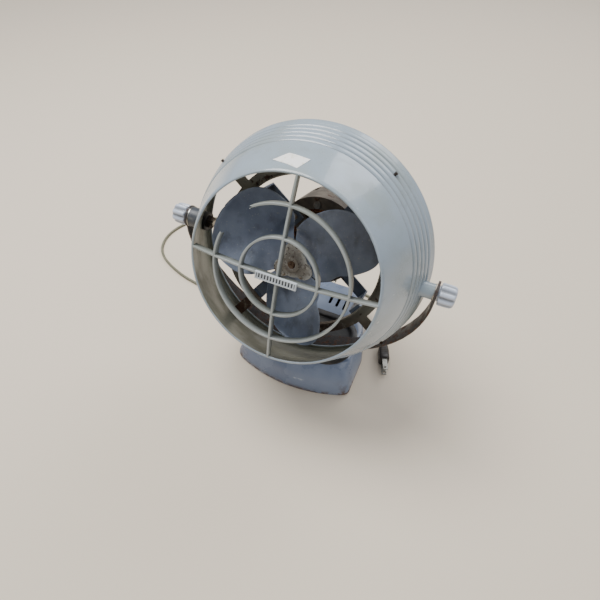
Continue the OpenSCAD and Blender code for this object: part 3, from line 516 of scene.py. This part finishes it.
def plugSkin():
    v = plugValues
    bodyRun, neckRun = np.linspace(1, v["body"] - 1, 41), np.linspace(v["body"] - 0.4, v["nose"] - 0.4, 22)
    along = np.concatenate([[0, 0.4], bodyRun, neckRun, [v["nose"]]])
    fullness = np.interp(along, [0, 0.4, 1.2, 14, v["body"] - 0.5, v["nose"]], [0.88, 0.95, 1, 0.98, 0.88, 0])
    gripped = (along > 6) & (along < v["body"] - 3)
    ridge = v["ridgeHeight"] * np.sin((along - 6) * 2 * np.pi / v["ridgePitch"]) * gripped
    neck = np.clip((along - v["body"]) / (v["nose"] - v["body"]), 0, 1)
    fall = (1 - neck) ** 2.2
    wide = np.maximum((fullness + ridge) * v["halfWide"] * fall, v["noseRadius"] * (neck > 0))
    high = np.maximum((fullness + ridge) * v["halfHigh"] * fall, v["noseRadius"] * (neck > 0))
    outline = roundedRect(1, 1, 0.55, 7)
    across = wide[:, None] * outline[None, :, 0]
    run = np.broadcast_to(along[:, None], across.shape)
    turn = math.radians(v["turn"])
    x = v["face"][0] + across * math.cos(turn) - run * math.sin(turn)
    y = v["face"][1] + across * math.sin(turn) + run * math.cos(turn)
    z = np.maximum(v["level"] + high[:, None] * outline[None, :, 1], v["lowest"])
    return skin(np.stack([x, y, z], axis=2) * mm)


plugPiece = makePiece("plugBody", [plugSkin()], "base", [finishes["plug_plastic"]],
                      ("plug_body",), sharp=60)

# strain relief: flanges in the wall and a ribbed sleeve that tapers along the cord
reliefValues = {"wall": -80, "ribs": 6, "length": 26}


def reliefSkin():
    out = np.linspace(0, reliefValues["length"], 60)
    sleeve = 5 - 1.8 * out / reliefValues["length"]
    rib = 0.45 * (np.sin(out * 2 * np.pi * reliefValues["ribs"] / reliefValues["length"]) > 0.2) * (out < 24)
    flange = np.array([[2.05, -11], [4.9, -11], [4.9, -3.5], [6.6, -3.5], [7, -3.1], [7, -0.5], [6.6, -0.1]])
    profile = np.vstack([flange, np.stack([sleeve - rib, out + 0.1], axis=1),
                         [[2.6, 26], [2.05, 25.8]]])
    angle = np.linspace(0, 2 * np.pi, 48, endpoint=False)
    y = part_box("strain_relief")[0][1] / mm + 7 + np.outer(np.cos(angle), profile[:, 0])
    z = routeA[0][2] + np.outer(np.sin(angle), profile[:, 0])
    x = reliefValues["wall"] - np.tile(profile[:, 1], (48, 1))
    return skin(np.stack([x, y, z], axis=2) * mm, closedRows=True)


makePiece("strainRelief", [reliefSkin()], "base", [finishes["black_rubber"]],
          ("strain_relief",))

# drum
drumValues = {"front": 100, "rear": 134.6, "shoulder": 84, "bulge": 2, "wall": 2.5, "lipRound": 5,
              "lipWidth": 8, "firstRib": 42, "ribs": 5, "ribPitch": 7, "ribHeight": 1,
              "groove": 0.9, "around": 288}


def drumRadius(s):
    v = drumValues
    cone = v["front"] + (v["rear"] - v["front"]) * s / v["shoulder"]
    return cone + v["bulge"] * np.sin(np.pi * s / v["shoulder"])


def ribShape(s):  # 0 in a groove and 1 on a rib, between the first and the last groove
    v = drumValues
    inside = (s >= v["firstRib"]) & (s <= v["firstRib"] + v["ribs"] * v["ribPitch"])
    return np.where(inside, np.abs(np.sin(np.pi * (s - v["firstRib"]) / v["ribPitch"])) ** 0.7, 0), inside


def drumPiece():
    # outside to the back with its ribs, round the rear lip, forward along the inside, round the front rim
    v = drumValues
    s = np.concatenate([np.linspace(1.25, 41.5, 40), np.linspace(41.6, 77.4, 144), np.linspace(78, 84, 8)])
    rib, ribbed = ribShape(s)
    valley = v["groove"] * (1 - rib) ** 3 * ribbed
    outer = np.stack([drumRadius(s) + v["ribHeight"] * rib - valley, s], axis=1)
    turn = np.linspace(0, np.pi / 2, 9)[1:]
    lip = np.stack([v["rear"] - v["lipRound"] * (1 - np.cos(turn)),
                    v["shoulder"] + v["lipRound"] * np.sin(turn)], axis=1)
    mouth = v["rear"] - v["lipWidth"]
    inward = np.array([[mouth + 0.8, 89], [mouth, 88.2], [mouth, 87.2], [mouth + 0.6, 86.5], [129.5, 86.3]])
    back = np.linspace(83, 1.25, 56)
    inner = np.stack([drumRadius(back) - v["wall"], back], axis=1)
    turn = np.linspace(0, np.pi, 8)[1:-1]
    rim = np.stack([v["front"] - 1.25 - 1.25 * np.cos(turn), 1.25 - 1.25 * np.sin(turn)], axis=1)
    profile = np.vstack([outer, lip, inward, inner, rim])
    grime = np.concatenate([np.where(ribbed, (1 - rib) ** 2, 0.0), np.zeros(len(profile) - len(s))])
    rings = ringOfRevolution(profile * mm, v["around"])
    insideStart, insideStop = len(outer) + len(lip) + 3, len(profile) - len(rim)
    column = np.zeros(len(profile), int)
    column[insideStart:insideStop] = 1
    return makePiece("drumShell", [skin(inHead(rings), closedRows=True)], "head",
                     [finishes["drum_plastic"], shadedInnerPlastic], ("drum_shell",),
                     {"grime": np.tile(grime, v["around"])}, np.tile(column, v["around"]), 50)


drumPiece()

# blank paper tag stuck on top of the drum, its corners given as distance from the rim and angle
tagValues = {"corners": ((12.5, 106), (22.5, 99.5), (18.5, 88), (5, 91.5)), "thick": 0.25, "lift": 0.12}


def tagSkin():
    corners = np.array(tagValues["corners"], float)
    a, b = np.meshgrid(np.linspace(0, 1, 15), np.linspace(0, 1, 15), indexing="ij")
    place = ((1 - a) * (1 - b))[..., None] * corners[0] + (a * (1 - b))[..., None] * corners[1] \
        + (a * b)[..., None] * corners[2] + ((1 - a) * b)[..., None] * corners[3]
    curl = 0.7 * np.clip(a * b - 0.72, 0, 1) ** 1.5 + 0.5 * np.clip((1 - a) * (1 - b) - 0.8, 0, 1)
    s, angle = place[..., 0], np.radians(place[..., 1])
    layers = [drumRadius(s) + tagValues["lift"] + 4 * curl + up for up in (0, tagValues["thick"])]
    faces = [np.stack([r * np.cos(angle), s, r * np.sin(angle)], axis=-1) for r in layers]
    rows = np.concatenate([faces[0], faces[1][:, ::-1]], axis=1)  # each row runs out on top and back below
    return skin(inHead(rows * mm))


makePiece("paperTag", [tagSkin()], "head", [paper])

# grille: moulded bars and rings whose fronts lie on a shallow dome
grilleValues = {"dome": 10.9, "inner": 40.2, "outer": 70.8, "width": 2.3, "depth": 8, "corner": 0.4,
                "reach": 98.4, "gap": (123, 160), "jag": 2.6}
sphereRadius = (drumValues["front"] ** 2 + grilleValues["dome"] ** 2) / (2 * grilleValues["dome"])


def domeFront(reach):  # how far behind the rim the bars' front is, at a distance from the middle
    return sphereRadius - grilleValues["dome"] - np.sqrt(sphereRadius ** 2 - reach ** 2)


barOutline = roundedRect(grilleValues["width"] / 2, grilleValues["depth"] / 2, grilleValues["corner"], 4)
barOutline[:, 0] *= 1 + 0.05 * barOutline[:, 1] / (grilleValues["depth"] / 2)   # moulding draft


def grilleBar(upright):
    along = np.linspace(-grilleValues["reach"], grilleValues["reach"], 121)
    across = np.broadcast_to(barOutline[:, 0], (len(along), len(barOutline)))
    deep = domeFront(np.abs(along))[:, None] + grilleValues["depth"] / 2 + barOutline[None, :, 1]
    run = np.broadcast_to(along[:, None], across.shape)
    place = (across, deep, run) if upright else (run, deep, across)
    return skin(inHead(np.stack(place, axis=2) * mm))


def grilleRing(radius, start=0.0, stop=360.0):
    # the bar's outline carried round a circle; a broken ring ends in uneven, torn faces
    full = stop - start >= 360
    steps = int((stop - start) * 0.6)
    torn = np.zeros((2, len(barOutline)))
    if not full:
        torn = np.degrees(rng.uniform(-1, 1, torn.shape) * grilleValues["jag"] / radius)
        torn += np.degrees(barOutline[:, 1] / 4 * grilleValues["jag"] / radius) * np.array([[0.8], [-0.5]])
    share = np.linspace(0, 1, steps, endpoint=not full)[:, None]
    angle = np.radians(start + torn[0] * (1 - share) ** 30 + (stop - start) * share - torn[1] * share ** 30)
    reach = radius + barOutline[None, :, 0]
    deep = domeFront(np.full_like(reach, radius)) + grilleValues["depth"] / 2 + barOutline[None, :, 1]
    points = np.stack([reach * np.cos(angle), np.broadcast_to(deep, angle.shape),
                       reach * np.sin(angle)], axis=2)
    return skin(inHead(points * mm), closedRows=full)


gapStart, gapStop = grilleValues["gap"]
grilleSkins = [grilleBar(False), grilleBar(True), grilleRing(grilleValues["inner"]),
               grilleRing(grilleValues["outer"], gapStop, gapStart + 360)]
outlineShade = np.clip((barOutline[:, 1] + 3.3) / 3.5, 0, 1) ** 0.7   # painted shade: the bars' sides and backs are darkened, only their lit front edges keep the plain colour
ringSize = len(outlineShade)
grilleShade = [np.concatenate([np.tile(outlineShade, len(verts) // ringSize),
                               np.zeros(len(verts) % ringSize)])
               for verts, _, _ in grilleSkins]
makePiece("grille", grilleSkins, "head", [finishes["grille_plastic"]], ("front_grille",),
          {"grime": np.concatenate(grilleShade)})

# badge: a plain strip with upright flutes in a raised frame, clipped over the grille's middle
badgeValues = {"length": 43, "height": 8, "front": -13.1, "thick": 2.4, "flutes": 13, "frame": 1.3,
               "deep": 1.1, "z": -1}


def badgeSkin():
    v = badgeValues
    across = np.linspace(-v["length"] / 2, v["length"] / 2, 241)
    up = np.concatenate([[-1, -0.97], np.linspace(-0.72, 0.72, 9), [0.97, 1]]) * v["height"] / 2
    x, z = np.meshgrid(across, up, indexing="ij")
    window = np.clip((v["length"] / 2 - v["frame"] - np.abs(x)) / 0.3, 0, 1)
    window = window * (np.abs(z) < v["height"] / 2 - v["frame"])
    flute = 0.5 + 0.5 * np.cos(x * 2 * np.pi * v["flutes"] / (v["length"] - 2 * v["frame"]))
    edge = np.minimum(v["length"] / 2 - np.abs(x), v["height"] / 2 - np.abs(z))
    gap = window * (1 - flute ** 0.6)
    front = v["front"] + v["deep"] * gap + 0.5 * np.clip(1 - edge / 0.4, 0, 1) ** 2
    back = np.full_like(front, v["front"] + v["thick"])
    z = z + v["z"]
    rows = np.concatenate([np.stack([x, front, z], -1), np.stack([x, back, z], -1)[:, ::-1]], axis=1)
    grime = np.concatenate([np.clip(1.6 * gap, 0, 1), np.zeros_like(gap)], axis=1)
    return skin(inHead(rows * mm)), grime


badgeShape, badgeGrime = badgeSkin()
makePiece("badge", [badgeShape], "head", [finishes["badge"]], ("badge_plate",),
          {"grime": badgeGrime}, sharp=30)
print("drum and grille made")

# fan wheel
bladeValues = {"reach": 93, "halfWidth": 45, "rootPitch": 33, "tipPitch": 26, "thick": 1.5, "camber": 3,
               "root": 10, "rootWidth": 12, "flat": 23, "full": 42, "broadest": 0.58, "plate": 34,
               "first": 37}


def bladePiece(k):
    # across runs over the blade, r along it; the pitch fades in from the flat root and the edge is half round
    v = bladeValues
    tipward = 1 - 0.5 * np.linspace(1, 0, 44) ** 1.7 - 0.0004
    u = np.concatenate([np.linspace(0, 0.5, 30, endpoint=False), tipward])[:, None]
    r = v["root"] + (v["reach"] - v["root"]) * u
    pitch = np.radians(v["rootPitch"] + (v["tipPitch"] - v["rootPitch"]) * u)
    swell = np.sin(np.pi / 2 * u / v["broadest"])
    taper = (np.clip(u - v["broadest"], 0, 1) / (1 - v["broadest"])) ** 3
    broad = np.where(u < v["broadest"], v["rootWidth"] + (v["halfWidth"] - v["rootWidth"]) * swell,
                     v["halfWidth"] * np.sqrt(np.clip(1 - taper, 0, 1)))
    broad = np.maximum(broad, 0.9)
    half = v["thick"] / 2
    run = np.sin(np.linspace(-np.pi / 2, np.pi / 2, 44))[None, :]
    turn = np.linspace(0, np.pi, 7)[1:-1][None, :]
    level = np.ones_like(u)
    flat = broad - half
    bend = half * np.sin(turn) * level
    across = np.concatenate([flat * run, flat + bend, -flat * run, -flat - bend], axis=1)
    face, fold = level * np.ones_like(run), np.cos(turn) * level
    side = np.concatenate([-face, -fold, face, fold], axis=1)
    share = across / broad
    lift = np.clip((r - v["flat"]) / (v["full"] - v["flat"]), 0, 1)
    lift = lift * lift * (3 - 2 * lift)
    x = np.sqrt(np.maximum(1, r * r - (across * np.cos(pitch) * 0.75) ** 2))
    s = v["plate"] + half + side * half - (across * np.sin(pitch) - v["camber"] * (1 - share ** 2)) * lift
    z = across * np.cos(pitch * lift)
    turned = math.radians(v["first"] + 120 * k)
    cosine, sine = math.cos(turned), math.sin(turned)
    points = np.stack([x * cosine - z * sine, s, x * sine + z * cosine], axis=2)
    edge = np.exp(-np.minimum(broad - np.abs(across), (1 - u) * 60) / 1.6)
    return makePiece("blade%d" % (k + 1), [skin(inHead(points * mm))], "fan_wheel",
                     [finishes["blade_paint"]], ("blade_%d" % (k + 1),), {"edge": edge}, sharp=50)


for k in range(3):
    bladePiece(k)

hubValues = {"middle": 16, "reach": 14, "lobe": 9, "bore": 4.1, "collarReach": 17}


def hubPlate():
    # three round lobes blended with a round middle; the collar round the shaft stands forward of the plate
    v = hubValues
    angle = np.linspace(0, 2 * np.pi, 240, endpoint=False)
    off = (angle - math.radians(bladeValues["first"] + 60) + np.pi / 3) % (2 * np.pi / 3) - np.pi / 3
    lobe = v["reach"] * np.cos(off) + np.sqrt(np.maximum(0, v["lobe"] ** 2 - (v["reach"] * np.sin(off)) ** 2))
    edge = (lobe ** 8 + v["middle"] ** 8) ** (1 / 8) * np.where(lobe > v["middle"], 0.993, 0.96)
    share = np.array([0, 0.03, 0.15, 0.3, 0.42, 0.55, 0.75, 0.93, 0.985, 1, 1, 0.985, 0.7, 0.3, 0])
    depth = np.array([28.2, 27.9, 27.6, 27.8, 30.6, 31.7, 32.0, 32.0, 32.12, 32.5, 33.5, 33.9, 34, 34, 34])
    start = v["bore"]
    reach = start + share[None, :] * (edge[:, None] - start)
    collar = np.minimum(reach, start + share[None, :] * (v["collarReach"] - start))
    reach = np.where(share[None, :] < 0.5, collar, reach)
    deep = np.broadcast_to(depth, reach.shape)
    points = np.stack([reach * np.cos(angle)[:, None], deep, reach * np.sin(angle)[:, None]], axis=2)
    edgeValue = np.broadcast_to(share[None, :] ** 2.5, reach.shape)
    return skin(inHead(points * mm), closedRows=True), edgeValue


hubShape, hubEdge = hubPlate()
makePiece("hubPlate", [hubShape], "fan_wheel", [finishes["hub_metal"]], ("hub_plate",),
          {"edge": hubEdge})

# windings: bundles of wire bent into rings, pinched where they are laced
windingValues = {"reach": 34, "thick": 5, "places": (119, 159), "laces": 16, "strands": 11}


def windingSkin(place):
    v = windingValues
    angle = np.linspace(0, 2 * np.pi, 240, endpoint=False)[:, None]
    about = np.linspace(0, 2 * np.pi, 66, endpoint=False)[None, :]
    strand = 0.5 + 0.5 * np.cos(about * v["strands"] + 2 * np.sin(angle * 5))
    lace = np.exp(-((((angle * v["laces"] / (2 * np.pi)) + 0.5) % 1 - 0.5) / 0.07) ** 2)
    thick = v["thick"] * (0.93 + 0.05 * strand - 0.1 * lace)
    reach = v["reach"] + thick * np.cos(about)
    points = np.stack([reach * np.cos(angle), place + thick * np.sin(about), reach * np.sin(angle)], axis=2)
    # the second value gives the copper finish its painted highlight on strand crests and its painted shade between
    # strands and at the laces
    return skin(inHead(points * mm), closedRows=True), strand * (1 - lace)


windings = [windingSkin(place) for place in windingValues["places"]]
makePiece("windings", [w[0] for w in windings], "head", [finishes["copper"]], ("stator_coils",),
          {"strand": np.concatenate([w[1].ravel() for w in windings])})
print("fan wheel and motor made")

# knobs: lobed grips with a domed end
knobValues = {"start": 145.8, "cut": 2.4, "lobes": 8}


def knobSkin(side):
    # the lobes fade out over the domed end and the chamfer at the neck
    v = knobValues
    x = np.array([0, 1.3, 1.5, 1.9, 2.6, 4, 7, 10, 13, 15, 16.2, 17.2, 17.9, 18.3, 18.45, 18.5]) + v["start"]
    reach = np.array([8.5, 8.5, 10.6, 11.5, 11.9, 12, 12, 11.95, 11.8, 11.5, 11, 10, 8.3, 6, 3, 0.5])
    grip = np.array([0, 0, 0.5, 0.8, 1, 1, 1, 1, 1, 1, 0.9, 0.6, 0.25, 0, 0, 0])
    angle = np.linspace(0, 2 * np.pi, 192, endpoint=False)
    cut = np.abs(np.cos(angle * v["lobes"] / 2)) ** 3
    radius = reach[:, None] - v["cut"] * grip[:, None] * cut[None, :]
    points = np.stack([np.broadcast_to(side * x[:, None], radius.shape),
                       rimToPivot / mm + radius * np.cos(angle), radius * np.sin(angle)], axis=2)
    return skin(inHead(points * mm)), grip[:, None] * cut[None, :]


for side, word in ((1, "right"), (-1, "left")):
    knobShape, knobGrime = knobSkin(side)
    makePiece(word + "Knob", [knobShape], "knob_" + word, [finishes["knob_plastic"]],
              (word + "_knob",), {"grime": knobGrime}, sharp=55)

# yoke: a steel strip bent round half a circle, widened to round eyes at its ends
yokeValues = {"radius": 144.25, "centre": 195, "halfWidth": 10, "eye": 12.5, "pivot": 200, "thick": 2.5}


def yokeSkin():
    v = yokeValues
    top = v["pivot"] + v["eye"]
    arc = np.linspace(np.pi, 2 * np.pi, 200)
    rise = np.concatenate([[top - 0.02], top - v["eye"] * (1 - np.cos(np.linspace(0.15, 1.9, 16)))])
    rise = rise[rise > v["centre"] + 0.3]
    straight = np.full(len(rise), v["radius"])
    x = np.concatenate([-straight, v["radius"] * np.cos(arc), straight])
    z = np.concatenate([rise, v["centre"] + v["radius"] * np.sin(arc), rise[::-1]])
    outward = np.stack([np.where(z > v["centre"], np.sign(x), x / v["radius"]),
                        np.where(z > v["centre"], 0, (z - v["centre"]) / v["radius"])], axis=1)
    eye = np.sqrt(np.maximum(0, v["eye"] ** 2 - (z - v["pivot"]) ** 2))
    wide = np.where(z > v["pivot"], eye, np.maximum(eye, v["halfWidth"]))
    wide = np.maximum(wide + 0.12 * np.sin(np.arange(len(z)) * 0.9) * (z < v["centre"]), 0.9)
    outline = roundedRect(1, v["thick"] / 2, 0.6, 4)
    y = np.sign(outline[:, 0]) * (wide[:, None] - (1 - np.abs(outline[:, 0])) * 1.0)
    across = x[:, None] + outward[:, :1] * outline[None, :, 1]
    up = z[:, None] + outward[:, 1:] * outline[None, :, 1]
    points = np.stack([across, y, up], axis=2)
    return skin(points * mm)


makePiece("yokeHoop", [yokeSkin()], "yoke", [finishes["yoke_paint"]], ("yoke_hoop",))

# base: every level is a blend of the foot's outline, the top's and the opening's
baseValues = {"halfWidth": 81, "front": 52, "rear": 122, "rearHalf": 60, "wall": 2.2, "cornerFront": 9,
              "cornerRear": 24, "frontSet": 20, "sideRun": 55, "around": 360, "middle": 22,
              "opening": (65, 25, 52, 30)}


def arcPoints(cx, cy, radius, start, stop, steps):
    angle = np.radians(np.linspace(start, stop, steps))
    return np.stack([cx + radius * np.cos(angle), cy + radius * np.sin(angle)], axis=1)


def rayed(outline):
    # the outline met by rays from the base's middle, so that outlines can be blended point by point
    middle = np.array([0, baseValues["middle"]])
    closed = np.vstack([outline, outline[:1]])
    t = np.linspace(0, 1, 24, endpoint=False)[None, :, None]
    dense = (closed[:-1, None] * (1 - t) + closed[1:, None] * t).reshape(-1, 2) - middle
    angle = np.arctan2(dense[:, 1], dense[:, 0])
    order = np.argsort(angle)
    reach = np.hypot(dense[:, 0], dense[:, 1])[order]
    rays = np.linspace(-np.pi, np.pi, baseValues["around"], endpoint=False)
    radius = np.interp(rays, angle[order], reach, period=2 * np.pi)
    return middle + radius[:, None] * np.stack([np.cos(rays), np.sin(rays)], axis=1)


def basePlan(half, front, rear, rearHalf):  # bowed front, straight sides that draw in, round rear corners
    v = baseValues
    cf, cr = v["cornerFront"], v["cornerRear"]
    flat = half - cf
    bow = np.linspace(-1, 1, 25)
    frontEdge = np.stack([flat * bow, 0.9 * (v["frontSet"] - cf / 2) * bow ** 2 - front], axis=1)
    sideY = v["frontSet"] - front
    return rayed(np.vstack([frontEdge, arcPoints(flat, sideY + cf / 2, cf, -50, 0, 7),
                            [[half, sideY + v["sideRun"]]],
                            arcPoints(rearHalf - cr + 4, rear - cr, cr, 12, 90, 9),
                            arcPoints(cr - 4 - rearHalf, rear - cr, cr, 90, 168, 9),
                            [[-half, sideY + v["sideRun"]]],
                            arcPoints(-flat, sideY + cf / 2, cf, 180, 230, 7)]))


def openingPlan(grow):
    half, front, rear, corner = baseValues["opening"]
    r = corner + grow
    xs, ys = half - corner, (-front + corner, rear - corner)
    return rayed(np.vstack([arcPoints(xs, ys[1], r, 0, 90, 12), arcPoints(-xs, ys[1], r, 90, 180, 12),
                            arcPoints(-xs, ys[0], r, 180, 270, 12), arcPoints(xs, ys[0], r, 270, 360, 12)]))


def basePiece():
    v = baseValues
    foot = basePlan(v["halfWidth"], v["front"], v["rear"], v["rearHalf"])
    top = basePlan(v["halfWidth"] - 10, v["front"] - 21, v["rear"] - 10, v["rearHalf"] - 8)
    hole = openingPlan(0)
    middle = np.array([0, v["middle"]])

    def level(share, z, inset=0.0, toHole=0.0):  # one closed row round the base
        plan = foot * (1 - share) + top * share
        plan = plan + (hole - plan) * toHole
        reach = np.linalg.norm(plan - middle, axis=1, keepdims=True)
        plan = middle + (plan - middle) * (1 - inset / reach)
        return np.column_stack([plan, np.full(len(plan), z)])

    rows = [level(0, 1.0, 0.9), level(0, 1.1, 0.3), level(0, 1.8), level(0, 5)]
    u = np.sin(np.linspace(0, np.pi / 2, 26))[1:]
    rows += [level(1 - (1 - h ** 1.35) ** (1 / 1.35) * 1.0, 5 + 36.9 * h, 0.3 * h ** 8) for h in u[:-1]]
    rows += [level(1, z, inset) for z, inset in ((42.2, 0.6), (42.7, 1.6), (42.95, 3))]
    rows += [level(1, z, 0, toHole)
             for z, toHole in ((43, 0.6), (43, 0.93), (42.7, 1), (41.2, 1), (40.8, 0.95))]
    rows += [level(1, 40.8, v["wall"], 0.3)]
    rows += [level(1 - (1 - h ** 1.35) ** (1 / 1.35), 3 + 36 * h, v["wall"] + 0.5) for h in u[::-1][2:]]
    rows += [level(0, 3, v["wall"]), level(0, 1.1, v["wall"]), level(0, 1.0, v["wall"] - 0.3)]
    points = np.array(rows)
    zs = points[:, 0, 2]
    worn = np.clip(1 - (zs - 1) / 7, 0, 1) ** 0.7 * 1.1
    plan = points[0]
    corner = np.exp(-((np.abs(plan[:, 0]) - 76) / 9) ** 2) * (plan[:, 1] < -15)
    lowness = np.clip(1 - (zs[:, None] - 1) / 26, 0, 1)
    wornAll = np.clip(worn[:, None] + 0.75 * corner[None, :] * lowness, 0, 1)
    shape = skin(points * mm, closedRows=True)
    return makePiece("baseShell", [shape], "base", [finishes["base_enamel"]], ("base_shell",),
                     {"worn": wornAll}, sharp=50)


baseShell = basePiece()
ventValues = {"first": 12, "pitch": 11, "back": 82, "stagger": 2, "halfWide": 2, "halfLong": 11,
              "levels": (36, 46)}


def cutVents(shell):
    # three rounded slots on each side, through the roof behind the opening
    v = ventValues
    outline = roundedRect(v["halfWide"], v["halfLong"], v["halfWide"] - 0.02, 7)
    skins = []
    for side in (-1, 1):
        for i in range(3):
            place = outline + [side * (v["first"] + v["pitch"] * i), v["back"] - v["stagger"] * i]
            rows = [np.column_stack([place, np.full(len(place), level)]) for level in v["levels"]]
            skins.append(skin(np.array(rows) * mm))
    verts, faces = joined(skins)
    slots = bpy.data.meshes.new("ventSlots")
    slots.from_pydata(verts.tolist(), [], faces)
    cutter = bpy.data.objects.new("ventSlots", slots)
    bpy.context.scene.collection.objects.link(cutter)
    cut = shell.modifiers.new("vents", "BOOLEAN")
    cut.operation = "DIFFERENCE"
    cut.solver = "EXACT"
    cut.object = cutter
    evaluated = shell.evaluated_get(bpy.context.evaluated_depsgraph_get())
    cutMesh = bpy.data.meshes.new_from_object(evaluated)
    shell.modifiers.clear()
    shell.data = cutMesh
    bpy.data.objects.remove(cutter)


cutVents(baseShell)


def topPlate():
    # a black dish with a rolled bead that laps over the opening's edge; its near-black is partly painted shade,
    # for the deep shade under the head
    rows = []
    for grow, z in [(-29.5, 40.02), (-20, 40.0), (-8, 40.0), (-5.6, 40.2), (-4.9, 40.8), (-4.7, 42.9),
                    (-4.3, 44.0), (-3.4, 44.45), (-2, 44.5), (2.4, 44.4), (3.6, 44.1), (4, 43.5),
                    (3.8, 43.1), (0, 43.02),
                    (-0.5, 42.6), (-0.5, 38.5), (-1, 38.1), (-20, 38), (-29.5, 38)]:
        plan = openingPlan(grow)
        rows.append(np.column_stack([plan, np.full(len(plan), z)]))
    return skin(np.array(rows) * mm)


makePiece("topPlate", [topPlate()], "base", [finishes["black_plate"]], ("top_plate",))
print("base made")

# floor and lights
floorMaterial = newFinish("paleFloor", Base_Color="#E0D2BD", Roughness=0.9)[0]
floorMesh = bpy.data.meshes.new("floor")
floorMesh.from_pydata([(-4, -4, 0), (4, -4, 0), (4, 4, 0), (-4, 4, 0)], [], [(0, 1, 2, 3)])
floorMesh.materials.append(floorMaterial)
floor = bpy.data.objects.new("floor", floorMesh)
bpy.context.scene.collection.objects.link(floor)

lightValues = [("key", (-0.7, 0.1, 1.8), 1.1, 42), ("fill", (1.3, -0.6, 1.4), 1.4, 6),
               ("back", (0.5, 1.5, 1.5), 1.2, 14)]
for name, place, size, power in lightValues:
    light = bpy.data.lights.new(name, "AREA")
    light.shape = "DISK"
    light.size = size
    light.energy = power
    lamp = bpy.data.objects.new(name, light)
    lamp.location = place
    aim = np.array([0, 0.05, 0.15]) - np.array(place)
    lean = math.atan2(math.hypot(aim[0], aim[1]), -aim[2])
    lamp.rotation_euler = (lean, 0, math.atan2(aim[1], aim[0]) - math.pi / 2)
    bpy.context.scene.collection.objects.link(lamp)
world = bpy.data.worlds.new("studio")
world.use_nodes = True
world.node_tree.nodes["Background"].inputs["Color"].default_value = (0.86, 0.9, 1.0, 1)
world.node_tree.nodes["Background"].inputs["Strength"].default_value = 0.55
bpy.context.scene.world = world
